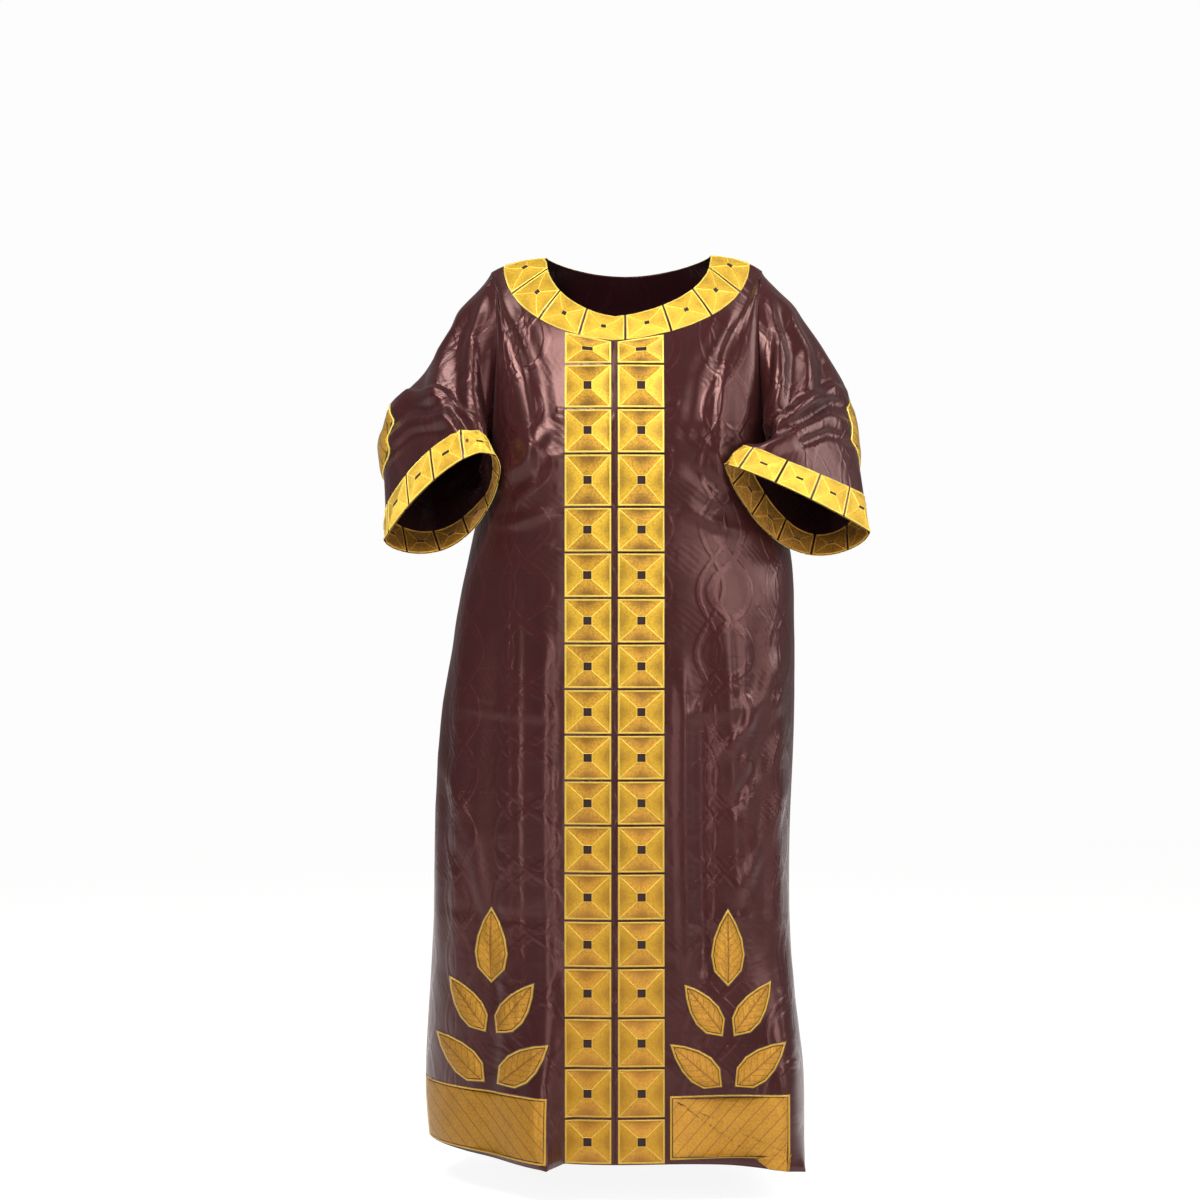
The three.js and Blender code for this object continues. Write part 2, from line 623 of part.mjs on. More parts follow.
const bandFrom = BAND_RING * SLEEVE_STEPS;
const cuff = (SLEEVE_LEFT.length - 1) * SLEEVE_STEPS;
for (const [side, sleeve] of Object.entries(sleeves)) {
  const band = partOf(sleeve, bandFrom, cuff);
  addPiece(`sleeve_${side}`, clearOf(wall(sleeve, -CLOTH, 0), panels), BAZIN);
  addPiece(`cuff_band_${side}`, wall(band, LIFT, LIFT + TRIM), GOLD);
  addPiece(`cuff_facing_${side}`, wall(band, -CLOTH - LIFT - TRIM, -CLOTH - LIFT), INNER_GOLD);
}

// The two columns of squares, row by row from the neckband to the hem, each made from the panel's cells.
const columnFrom = FRONT_STEPS.length - 1;
const columnTo = columnFrom + 5;
const gap = SQUARE_GAP / 2;
for (let row = 0; row <= SQUARE_PITCHES.length; row += 1) {
  const rows = squareRows(row);
  const edges = { top: row === 0 ? BAND_GAP : gap, bottom: gap };
  const left = drawnIn(partOf(front, ...rows, columnFrom, columnFrom + 2), { ...edges, left: gap, right: 0 });
  const right = drawnIn(partOf(front, ...rows, columnTo - 2, columnTo), { ...edges, left: 0, right: gap });
  addPiece(`square_left_${row + 1}`, wall(left, LIFT, LIFT + TRIM), GOLD);
  addPiece(`square_right_${row + 1}`, wall(right, LIFT, LIFT + TRIM), GOLD);
}

// First and last panel row of a row of squares.
function squareRows(row) {
  if (row === 0) return [ROW_BAND, ROW_SHOULDER];
  const halves = (ROW_UNDERARM - ROW_SHOULDER) / 2;
  if (row <= halves) return [ROW_SHOULDER + 2 * (row - 1), ROW_SHOULDER + 2 * row];
  return [ROW_UNDERARM + row - halves - 1, ROW_UNDERARM + row - halves];
}

// Border and leaves in the two lower front corners.
const lastColumn = front.grid[0].length - 1;
const SWEEP = 400; // depth of a cut, from the middle of the robe to in front of it
const facingFront = facing(0, new THREE.Vector3(0, 0, 0));
for (const art of HEM_ART) {
  const [from, to] = art.side === 'left' ? [0, columnFrom] : [columnTo, lastColumn];
  const skin = solidOf(wall(partOf(front, ROW_LEVEL, ROW_HEM, from, to), LIFT, LIFT + TRIM));
  const foot = rowHeight(ROW_HEM) + BORDER_FOOT;
  const border = [[art.fromX, foot], [art.toX, foot], [art.toX, BORDER_TOP], [art.fromX, BORDER_TOP]];
  addPiece(`hem_border_${art.side}`, cutOut(skin, border, facingFront, SWEEP), GOLD);
  LEAVES.forEach((leaf, i) => {
    const outline = leafOutline(leaf, art.stemX + leaf.offset, BORDER_TOP + leaf.rise);
    addPiece(`hem_leaf_${art.side}_${i + 1}`, cutOut(skin, outline, facingFront, SWEEP), GOLD);
  });
}

// One lozenge on the outer fold of each sleeve.
for (const mark of LOZENGE) {
  const skin = solidOf(wall(partOf(sleeves[mark.side], 0, bandFrom), LIFT, LIFT + TRIM));
  const way = mark.side === 'left' ? -1 : 1;
  const lean = THREE.MathUtils.degToRad(mark.lean);
  const corners = [[0, -mark.halfHeight], [mark.halfWidth, 0], [0, mark.halfHeight], [-mark.halfWidth, 0]];
  const outline = corners.map(([x, z]) => [
    x * Math.cos(lean) + z * Math.sin(lean),
    mark.z - x * Math.sin(lean) + z * Math.cos(lean),
  ]);
  const turn = way * THREE.MathUtils.degToRad(mark.turn);
  const place = facing(turn, new THREE.Vector3(mark.x, 0, 0));
  addPiece(`sleeve_lozenge_${mark.side}`, cutOut(skin, outline, place, SWEEP), GOLD);
}

export default robe;
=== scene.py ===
# %% [markdown]
# # Grand boubou robe in polished bazin
# A wide robe of polished cotton damask with a gold neckband, two columns of gold squares down the front,
# gold cuffs and gold hem corners. The solids of the frame give every piece its form and its place; this
# lesson lays fine cloth over them, presses the creases and sews the gold on top.

# %% Load the frame
import math
import random

import bmesh
import bpy
import numpy as np
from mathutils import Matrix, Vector, noise
from mathutils.bvhtree import BVHTree
from mathutils.kdtree import KDTree


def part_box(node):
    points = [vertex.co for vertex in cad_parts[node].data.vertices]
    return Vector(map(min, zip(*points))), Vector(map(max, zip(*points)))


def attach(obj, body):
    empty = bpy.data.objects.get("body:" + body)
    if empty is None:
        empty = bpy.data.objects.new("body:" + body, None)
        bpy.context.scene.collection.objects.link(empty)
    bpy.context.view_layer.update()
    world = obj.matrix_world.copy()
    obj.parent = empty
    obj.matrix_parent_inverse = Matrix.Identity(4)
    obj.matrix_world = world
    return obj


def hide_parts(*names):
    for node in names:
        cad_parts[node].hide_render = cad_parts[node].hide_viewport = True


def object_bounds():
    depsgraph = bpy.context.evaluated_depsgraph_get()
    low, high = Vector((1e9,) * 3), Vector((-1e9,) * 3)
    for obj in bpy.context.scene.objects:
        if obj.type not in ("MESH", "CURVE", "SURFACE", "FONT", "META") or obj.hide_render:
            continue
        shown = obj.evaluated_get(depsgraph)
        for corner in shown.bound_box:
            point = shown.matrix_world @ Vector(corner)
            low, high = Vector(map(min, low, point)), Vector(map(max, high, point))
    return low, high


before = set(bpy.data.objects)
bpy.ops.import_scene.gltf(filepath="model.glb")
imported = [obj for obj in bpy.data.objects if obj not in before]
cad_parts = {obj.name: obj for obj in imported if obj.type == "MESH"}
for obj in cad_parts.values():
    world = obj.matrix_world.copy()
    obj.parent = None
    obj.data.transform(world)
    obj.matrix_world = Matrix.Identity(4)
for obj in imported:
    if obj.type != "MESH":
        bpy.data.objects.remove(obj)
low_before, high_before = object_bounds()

MM = 0.001
WALL = 2.2 * MM  # thickness of the solids' cloth
TRIM = 1.2 * MM  # thickness of the solids' gold skins
CLOTH = 1.0 * MM  # thickness of the cloth that is shown
SIDE_TURN = math.radians(58)  # a sharper turn than this ends one side of a wall
JOIN_BEND, JOIN_SHAPE = math.radians(55), math.radians(65)  # how unlike two joined triangles may be
CORNER_TURN = math.radians(38)  # a sharper turn of an outline is a corner and stays sharp
FINENESS = 3  # times that each cell of a sheet is halved
LIFT = 0.3 * MM  # gap below what is sewn on
print("nodes", len(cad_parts), "height", round(high_before.z - low_before.z, 3))

# %% [markdown]
# ## Sheets from the solids
# Cloth is one sheet with two faces, and a solid is a closed wall. The outer side of the wall is taken
# alone: the narrow faces of its rim go first, then the side that faces away from the body is kept.
# Its triangles are joined back in pairs, because four-sided cells smooth into even cloth.

# %% Outer side of a wall
def outer_sheet(node, wall, axis=None):
    """One side of a wall: the one that faces most away from its axis, or from its own centre."""
    bm = bmesh.new()
    bm.from_mesh(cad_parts[node].data)
    bmesh.ops.remove_doubles(bm, verts=bm.verts, dist=0.02 * MM)
    rim = []
    for face in bm.faces:
        lengths = sorted(edge.calc_length() for edge in face.edges)
        if any(abs(length - wall) < 0.02 * wall for length in lengths[:2]) and lengths[-1] > 2.5 * wall:
            rim.append(face)
    bmesh.ops.delete(bm, geom=rim, context="FACES")
    left = set(bm.faces)
    centre = sum((v.co for v in bm.verts), Vector()) / len(bm.verts)
    sides = []
    while left:
        start = left.pop()
        side, stack = [start], [start]
        while stack:
            for edge in stack.pop().edges:
                if len(edge.link_faces) != 2 or edge.calc_face_angle(math.tau) > SIDE_TURN:
                    continue
                for other in edge.link_faces:
                    if other in left:
                        left.discard(other)
                        side.append(other)
                        stack.append(other)
        out = 0.0
        for face in side:
            middle = face.calc_center_median()
            home = centre if axis is None else Vector((axis[0], axis[1], middle.z))
            out += face.calc_area() * face.normal.dot(middle - home)
        sides.append((out, side))
    keep = set(max(sides, key=lambda pair: pair[0])[1])
    bmesh.ops.delete(bm, geom=[f for f in bm.faces if f not in keep], context="FACES")
    bmesh.ops.join_triangles(
        bm, faces=bm.faces[:], angle_face_threshold=JOIN_BEND, angle_shape_threshold=JOIN_SHAPE
    )
    return bm


def refine(bm):
    """Smooths a sheet into fine cells, with sharp corners of its outline kept."""
    layer = bm.verts.layers.float.new("crease_vert")
    for vert in bm.verts:
        ends = [edge.other_vert(vert).co for edge in vert.link_edges if edge.is_boundary]
        if len(ends) == 2 and (ends[0] - vert.co).angle(vert.co - ends[1]) > CORNER_TURN:
            vert[layer] = 1.0
    mesh = bpy.data.meshes.new("coarse")
    bm.to_mesh(mesh)
    bm.free()
    holder = bpy.data.objects.new("coarse", mesh)
    bpy.context.collection.objects.link(holder)
    modifier = holder.modifiers.new("smooth", "SUBSURF")
    modifier.levels = modifier.render_levels = FINENESS
    modifier.boundary_smooth = "PRESERVE_CORNERS"
    evaluated = holder.evaluated_get(bpy.context.evaluated_depsgraph_get())
    fine = bmesh.new()
    fine.from_mesh(evaluated.to_mesh())
    bpy.data.objects.remove(holder)
    bpy.data.meshes.remove(mesh)
    return fine


def seam_points(bm):
    """Points spread along the outline of a sheet."""
    points = []
    for edge in bm.edges:
        if edge.is_boundary:
            a, b = (v.co for v in edge.verts)
            points += [a.lerp(b, t) for t in (0, 0.25, 0.5, 0.75)]
    return points


def tree_of(points):
    tree = KDTree(len(points))
    for i, point in enumerate(points):
        tree.insert(point, i)
    tree.balance()
    return tree


front = refine(outer_sheet("front_panel", WALL, axis=(0, 0)))
back = refine(outer_sheet("back_panel", WALL, axis=(0, 0)))
sleeves = {side: refine(outer_sheet(f"sleeve_{side}", WALL)) for side in ("left", "right")}
for name, sheet in (("front", front), ("back", back), *sleeves.items()):
    area = sum(face.calc_area() for face in sheet.faces)
    print(name, "cells", len(sheet.faces), "area m2", round(area, 3))

# %% [markdown]
# ## Sewing the seams
# A seam joins two cut edges along one line. The edge of the back is drawn to the edge of the front at
# the sides and shoulders, and the top of each sleeve to the armhole that the two panels leave. The
# move fades out within a few centimetres, as eased cloth does.

# %% Seams
SEAM_GAP = 0.15 * MM  # between two edges that are sewn together
HEM_Z = low_before.z
HEM_BAND = 45 * MM  # the side seams hold the cloth from this height above the hem
SIDE_X, MIDDLE_X = 240 * MM, -20 * MM  # and where they lie, out from the middle of the robe


def sew(bm, target, reach, fade):
    """Draws the edges that lie within reach onto the target points; the move dies out over fade."""
    edge = [v for v in bm.verts if v.is_boundary]
    moves = []
    for vert in edge:
        point, _, distance = target.find(vert.co)
        if distance < reach:
            moves.append((vert.co.copy(), (point - vert.co) * max(0.0, 1 - SEAM_GAP / max(distance, 1e-9))))
    tree = tree_of([place for place, _ in moves])
    for vert in bm.verts:
        _, index, distance = tree.find(vert.co)
        if distance < fade:
            vert.co += moves[index][1] * (1 - distance / fade) ** 2
    return len(moves)


print("sewn", sew(back, tree_of(seam_points(front)), reach=6 * MM, fade=30 * MM))
armholes = tree_of(seam_points(front) + seam_points(back))
for side, sheet in sleeves.items():
    print("armhole", side, sew(sheet, armholes, reach=32 * MM, fade=60 * MM))
seams = tree_of([p for p in seam_points(front) if p.z > HEM_Z + HEM_BAND or abs(p.x - MIDDLE_X) > SIDE_X])

# %% [markdown]
# ## Pressing the creases
# Bazin is starched and beaten until it shines, so it holds the creases of its packing and breaks into
# soft straight folds. Each crease is a line on the cloth in x and z, in millimetres, with a width and
# a height: ridges stand out, troughs go in. They are uneven on purpose. A crease fades toward its ends
# and toward the seams, which the stitches hold flat. A pressed crease keeps its edge sharp.

# %% Creases
END_SHARE = 0.22  # share of a crease over which each end fades
HOLD = 26 * MM  # the cloth is held flat this near a seam


def smooth(t):
    t = np.clip(t, 0, 1)
    return t * t * (3 - 2 * t)


def crease_heights(points, path, width, height, lean, sharp):
    """Height of one crease at each point; a lean makes one flank steeper, sharp keeps its edge."""
    path = np.array(path, float) * MM
    lengths = np.linalg.norm(np.diff(path, axis=0), axis=1)
    total, start = lengths.sum(), 0.0
    best = np.full(len(points), 1e9)
    signed = np.zeros(len(points))
    place = np.zeros(len(points))
    for a, b, length in zip(path[:-1], path[1:], lengths):
        way = (b - a) / length
        along = np.clip((points - a) @ way, 0, length)
        off = points - (a + along[:, None] * way)
        distance = np.linalg.norm(off, axis=1)
        nearer = distance < best
        best = np.where(nearer, distance, best)
        signed = np.where(nearer, off[:, 0] * way[1] - off[:, 1] * way[0], signed)
        place = np.where(nearer, (start + along) / total, place)
        start += length
    reach = width * MM * np.where(signed > 0, 1 + lean, 1 - lean)
    ends = smooth(np.minimum(place, 1 - place) / END_SHARE)
    rise = np.clip(1 - best / reach, 0, 1)
    return height * MM * (rise if sharp else smooth(rise)) * ends


def press(bm, creases, facing, hold, grain=1.2):
    """Moves cloth along its normals: the listed creases, then a low unevenness everywhere."""
    bm.normal_update()
    verts = bm.verts[:]
    co = np.array([v.co for v in verts])
    normals = np.array([v.normal for v in verts])
    side = smooth((normals[:, 1] * facing + 0.25) / 0.5)
    push = np.zeros(len(verts))
    for crease in creases:
        push += crease_heights(co[:, [0, 2]], **crease)
    push *= side
    held = np.array([min(1.0, max(0.0, hold.find(v.co)[2] / HOLD)) for v in verts])
    waves = np.array([noise.noise(Vector((v.co.x * 9, v.co.y * 9, v.co.z * 4))) for v in verts])
    small = np.array([noise.noise(v.co * 26) for v in verts])
    push += grain * MM * (waves * 1.6 + small * 0.5)
    push *= smooth(held)
    for vert, normal, move in zip(verts, normals, push):
        vert.co += Vector(normal * move)
    bm.normal_update()
    return round(float(np.abs(push).max()) / MM, 1)


def c(width, height, *path, lean=0.0, sharp=False):
    return {"path": path, "width": width, "height": height, "lean": lean, "sharp": sharp}


FRONT = [
    # packing creases, pressed sharp
    c(62, -10.0, (-168, -440), (-170, -820), (-166, -1390), sharp=True),
    c(8, 3.4, (-168, -470), (-170, -820), (-166, -1300), sharp=True),
    c(11, 3.4, (-290, -700), (-200, -706), (-104, -716), sharp=True),
    c(11, 3.0, (62, -716), (150, -706), (250, -690), sharp=True),
    c(9, -2.0, (-292, -1010), (-190, -1022), (-104, -1016), sharp=True),
    c(9, 2.2, (66, -1030), (150, -1022), (250, -1034), sharp=True),
    # chest: drags from the shoulders and the bust to the armholes
    c(20, 4.0, (-196, -70), (-168, -150), (-150, -260), (-146, -390), lean=0.4),
    c(22, -3.5, (-176, -80), (-136, -190), (-112, -330)),
    c(16, 3.2, (-214, -352), (-160, -330), (-108, -262)),
    c(18, -3.0, (-216, -392), (-168, -362), (-108, -320)),
    c(15, 3.0, (-222, -420), (-170, -420), (-110, -400)),
    c(20, 4.0, (184, -68), (150, -160), (138, -280), (150, -400), lean=-0.4),
    c(22, -3.2, (164, -90), (112, -190), (84, -320)),
    c(16, 3.2, (206, -338), (150, -330), (72, -250)),
    c(18, -3.0, (214, -392), (150, -372), (76, -330)),
    c(15, 3.0, (216, -440), (150, -430), (78, -392)),
    # skirt: long folds that hang from the hips
    c(30, -6.0, (-204, -470), (-206, -760), (-208, -1120), (-214, -1390), lean=0.3),
    c(26, 6.5, (-238, -420), (-256, -640), (-262, -900), (-262, -1180)),
    c(18, 5.0, (-282, -600), (-292, -860), (-290, -1120)),
    c(24, 3.5, (-128, -480), (-130, -820), (-122, -1240), lean=-0.3),
    c(17, -3.0, (-108, -560), (-112, -900), (-106, -1180)),
    c(16, 5.5, (84, -600), (86, -860), (90, -1170), lean=0.3),
    c(20, -6.5, (112, -640), (114, -880), (118, -1150), lean=-0.2),
    c(24, 5.0, (150, -520), (158, -800), (170, -1090), lean=0.3),
    c(20, -4.5, (196, -540), (200, -780), (206, -1010)),
    c(22, 5.5, (232, -600), (228, -820), (226, -1100)),
    c(18, 4.0, (238, -610), (190, -720), (130, -790)),
    c(18, -4.0, (244, -690), (196, -800), (140, -880)),
    c(20, 4.0, (246, -800), (200, -930), (150, -1010)),
    c(16, 3.0, (-292, -760), (-240, -900), (-216, -1050)),
    c(14, -3.0, (-280, -880), (-236, -1000), (-200, -1180)),
]
BACK = [
    c(34, -6.0, (0, -110), (-6, -260), (4, -420)),
    c(28, 5.0, (-80, -120), (-96, -260), (-120, -430), lean=0.3),
    c(28, 5.0, (84, -120), (92, -270), (124, -430), lean=-0.3),
    c(20, 3.5, (-206, -360), (-150, -330), (-70, -270)),
    c(20, 3.5, (206, -360), (140, -340), (74, -260)),
    c(36, 9.0, (-70, -480), (-86, -860), (-96, -1400), lean=0.3),
    c(34, -9.0, (-10, -460), (-14, -860), (-24, -1400)),
    c(38, 9.0, (62, -440), (74, -860), (92, -1400), lean=-0.3),
    c(28, -7.0, (150, -520), (160, -900), (176, -1400)),
    c(28, -7.0, (-160, -520), (-176, -900), (-190, -1400)),
    c(26, 7.0, (216, -560), (226, -900), (236, -1380)),
    c(26, 7.0, (-226, -560), (-244, -900), (-250, -1380)),
    c(10, 2.6, (-250, -704), (-60, -712), (120, -706), (240, -700)),
    c(10, -2.2, (-260, -1040), (-40, -1030), (250, -1044)),
]
SLEEVE = {
    "left": [
        c(22, 8.0, (-214, -40), (-240, -130), (-238, -225), (-218, -316), lean=0.4),
        c(16, -7.0, (-226, -60), (-262, -150), (-262, -236), (-228, -320)),
        c(22, 9.0, (-232, -50), (-286, -150), (-292, -228), (-250, -306), lean=0.3),
        c(16, -5.5, (-258, -82), (-316, -170), (-332, -236)),
        c(20, 7.5, (-394, -256), (-340, -216), (-280, -222), (-222, -290), lean=0.4),
        c(14, -6.0, (-394, -280), (-338, -240), (-274, -244), (-220, -306)),
        c(18, 6.5, (-390, -306), (-332, -262), (-268, -262), (-214, -326), lean=0.4),
        c(12, -4.5, (-386, -330), (-330, -284), (-262, -280)),
    ],
    "right": [
        c(22, 8.0, (212, -40), (234, -130), (230, -215), (204, -296), lean=-0.4),
        c(16, -7.0, (224, -60), (254, -160), (246, -236), (214, -296)),
        c(22, 9.0, (232, -50), (276, -150), (276, -226), (232, -290), lean=-0.3),
        c(16, -5.5, (256, -82), (304, -170), (306, -236)),
        c(20, 7.5, (356, -216), (318, -208), (264, -240), (190, -290), lean=-0.4),
        c(14, -6.0, (360, -242), (314, -232), (260, -262), (186, -304)),
        c(18, 6.5, (364, -270), (310, -256), (254, -286), (180, -316), lean=-0.4),
        c(12, -4.5, (366, -296), (308, -282), (250, -306)),
    ],
}
SLEEVE_BACK = {
    side: [
        c(18, 6.0, (way * 230, -80), (way * 280, -180), (way * 330, -260)),
        c(16, -5.0, (way * 224, -150), (way * 270, -240), (way * 330, -310)),
        c(18, 6.0, (way * 226, -250), (way * 280, -310), (way * 350, -340)),
        c(14, -4.0, (way * 236, -320), (way * 290, -360), (way * 350, -380)),
    ]
    for side, way in (("left", -1), ("right", 1))
}

# The stitches that hold the squares draw the cloth into two small puckers beside each of them.
COLUMNS = (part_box("square_left_9")[0].x / MM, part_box("square_right_9")[1].x / MM)
random.seed(7)
for row in range(2, 19):
    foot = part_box(f"square_left_{row}")[0].z / MM
    for edge, way in zip(COLUMNS, (-1, 1)):
        for _ in range(2):
            at = foot + random.uniform(-24, 34)
            run = random.uniform(12, 26)
            slope = random.uniform(-7, 7)
            height = random.choice((1.5, -1.4)) * random.uniform(0.7, 1.3)
            FRONT.append(c(6, height, (edge - way * 2, at), (edge + way * run, at + slope)))

print("front mm", press(front, FRONT, -1, seams))
print("back mm", press(back, BACK, 1, seams))
for side, sheet in sleeves.items():
    print("sleeve mm", press(sheet, SLEEVE[side], -1, armholes, grain=0.8))
    press(sheet, SLEEVE_BACK[side], 1, armholes, grain=0)

# %% [markdown]
# ## Finishes
# Colours are sRGB hex, turned to linear once. Patterns are placed by the cloth's own coordinates, in
# metres across and along it, so their scale is that of the real weave.

# %% Node helper
def linear(hex_colour):
    parts = [int(hex_colour[i:i + 2], 16) / 255 for i in (1, 3, 5)]
    return tuple(x / 12.92 if x <= 0.04045 else ((x + 0.055) / 1.055) ** 2.4 for x in parts) + (1.0,)


def add(tree, kind, sets=None, **links):
    """Adds a node: sets holds its properties and socket values, links the sockets that feed it."""
    node = tree.nodes.new("ShaderNode" + kind)
    for name, value in (sets or {}).items():
        if isinstance(name, str) and hasattr(node, name) and name not in node.inputs:
            setattr(node, name, value)
        else:
            node.inputs[name].default_value = value
    for name, source in links.items():
        key = int(name[1:]) if name[0] == "i" and name[1:].isdigit() else name.replace("_", " ")
        tree.links.new(source, node.inputs[key])
    return node


def maths(tree, operation, a, b=None, c=None):
    node = add(tree, "Math", {"operation": operation})
    for i, value in enumerate((a, b, c)):
        if value is None:
            continue
        if isinstance(value, (int, float)):
            node.inputs[i].default_value = value
        else:
            tree.links.new(value, node.inputs[i])
    return node.outputs[0]


def mixed(tree, factor, a, b):
    node = add(tree, "Mix", {"data_type": "RGBA"})
    for i, value in ((0, factor), (6, a), (7, b)):
        if isinstance(value, str):
            node.inputs[i].default_value = linear(value)
        elif isinstance(value, (int, float)):
            node.inputs[i].default_value = value
        else:
            tree.links.new(value, node.inputs[i])
    return node.outputs[2]


def from_middle(tree, value):
    """How far a share of 0 to 1 lies from its middle."""
    return maths(tree, "ABSOLUTE", maths(tree, "SUBTRACT", value, 0.5))


def ramp(tree, value, low, high):
    node = add(tree, "MapRange", {"interpolation_type": "SMOOTHSTEP", "From Min": low, "From Max": high})
    tree.links.new(value, node.inputs["Value"])
    return node.outputs[0]


def finished(material, colour, height=None, distance=0.0, **shine):
    """Ends a material: colour and bump height sockets into one Principled shader."""
    tree = material.node_tree
    shader = tree.nodes["Principled BSDF"]
    for socket, value in shine.items():
        key = socket.replace("_", " ")
        if isinstance(value, (int, float, tuple)):
            shader.inputs[key].default_value = value
        else:
            tree.links.new(value, shader.inputs[key])
    if isinstance(colour, str):
        shader.inputs["Base Color"].default_value = linear(colour)
    else:
        tree.links.new(colour, shader.inputs["Base Color"])
    if height is not None:
        bump = add(tree, "Bump", {"Strength": 1.0, "Distance": distance}, Height=height)
        tree.links.new(bump.outputs[0], shader.inputs["Normal"])
    return material


def new_material(name):
    material = bpy.data.materials.new(name)
    material.use_nodes = True
    return material


# %% [markdown]
# ### Polished bazin
# Cotton damask: the pattern is in the weave, so it shows only as a change of shine and as a faint
# raised line. Its ogees are 110 mm wide and 190 mm high, with a narrower one between each two. The
# starch and the beating give it a glaze like a thin coat, and fine hard crinkles between the creases.

# %% Bazin
OGEE_WIDE, OGEE_HIGH = 0.11, 0.19
# the lines of the figure: sway and shift in widths of an ogee, and where the line's edge fades out and in
OGEE_LINES = [
    (0.25, 0, 0.085, 0.035),
    (-0.25, 0, 0.085, 0.035),
    (0.14, 0.25, 0.05, 0.012),
    (-0.14, 0.25, 0.05, 0.012),
]
FLOAT_SCALE, WEAVE_SCALE = 52.0, 420.0  # satin floats and threads, in waves
GLAZE = "#e8b0a8"


def bazin(name, base, glow, shine=1.0):
    material = new_material(name)
    tree = material.node_tree
    where = add(tree, "UVMap", {"uv_map": "cloth"}).outputs[0]
    parts = add(tree, "SeparateXYZ", Vector=where).outputs
    across = maths(tree, "DIVIDE", parts[0], OGEE_WIDE)
    wave = maths(tree, "SINE", maths(tree, "MULTIPLY", parts[1], math.tau / OGEE_HIGH))
    lines = None
    for sway, shift, far, near in OGEE_LINES:
        line = maths(tree, "ADD", maths(tree, "MULTIPLY", wave, sway), across)
        line = maths(tree, "ADD", line, shift)
        edge = ramp(tree, from_middle(tree, maths(tree, "FRACT", line)), far, near)
        lines = edge if lines is None else maths(tree, "MAXIMUM", lines, edge)
    # hatching inside the ogees, as the satin floats of the damask lie
    hatch = add(tree, "TexWave", {"Scale": FLOAT_SCALE, "Distortion": 0.6, "bands_direction": "DIAGONAL"},
                Vector=where)
    level = maths(tree, "COSINE", maths(tree, "MULTIPLY", parts[1], 2 * math.tau / OGEE_HIGH))
    inside = maths(tree, "MULTIPLY", maths(tree, "GREATER_THAN", level, 0.1), hatch.outputs[1])
    figure = maths(tree, "ADD", lines, maths(tree, "MULTIPLY", inside, 0.25))
    crinkle = add(tree, "TexNoise", {"noise_type": "RIDGED_MULTIFRACTAL", "Scale": 9.0, "Detail": 2.0,
                                     "Roughness": 0.45}, Vector=where)
    soft = add(tree, "TexNoise", {"Scale": 42.0, "Detail": 3.0, "Distortion": 0.4}, Vector=where)
    weave = add(tree, "TexWave", {"Scale": WEAVE_SCALE, "bands_direction": "X"}, Vector=where)
    height = maths(tree, "MULTIPLY", crinkle.outputs[0], 0.28)
    for source, share in ((figure, 0.13), (soft.outputs[0], 0.30), (weave.outputs[1], 0.008)):
        height = maths(tree, "ADD", height, maths(tree, "MULTIPLY", source, share))
    patch = add(tree, "TexNoise", {"Scale": 5.0, "Detail": 2.0}, Vector=where)
    colour = mixed(tree, maths(tree, "MULTIPLY", figure, 0.30), base, glow)
    colour = mixed(tree, maths(tree, "MULTIPLY", ramp(tree, patch.outputs[0], 0.4, 0.7), 0.25), colour, glow)
    rough = maths(tree, "SUBTRACT", 0.32, maths(tree, "MULTIPLY", figure, 0.08))
    return finished(material, colour, height, 3.0 * MM, Roughness=rough, Specular_IOR_Level=0.7 * shine,
                    Specular_Tint=linear(GLAZE), Coat_Weight=0.03 * shine, Coat_Roughness=0.32,
                    Sheen_Weight=0.08, Sheen_Roughness=0.4, Sheen_Tint=linear("#d9a7a2"))


BAZIN = bazin("Polished bazin, plum brown", "#2b0f10", "#3f1b1e")
BAZIN_INSIDE = bazin("Bazin, unpolished inner side", "#220c0f", "#2e1216", shine=0.4)

# %% [markdown]
# ### Gold
# The gold is a satin of metallic and rayon thread. Each square is sewn from four facets whose threads
# run two ways. The side facets are coloured as lit, bright yellow, and the top and bottom ones a darker,
# grainier amber as painted shade; in each facet a painted highlight runs along the diagonals and painted
# shade lies next to the cord. The cord round each square is the lightest. The gold turns darker and
# more amber toward the hem.

# %% Gold thread
# the first colour is painted shade on the facets of the squares and bands; the second is painted shade in
# stitched grooves
FACET_PAINTED_SHADE, VEIN_PAINTED_SHADE, LOW_AMBER = "#5e3a0c", "#3c2208", "#a86c16"
AMBER_FROM, AMBER_TO = -0.25, -1.35  # the gold turns to amber between these heights


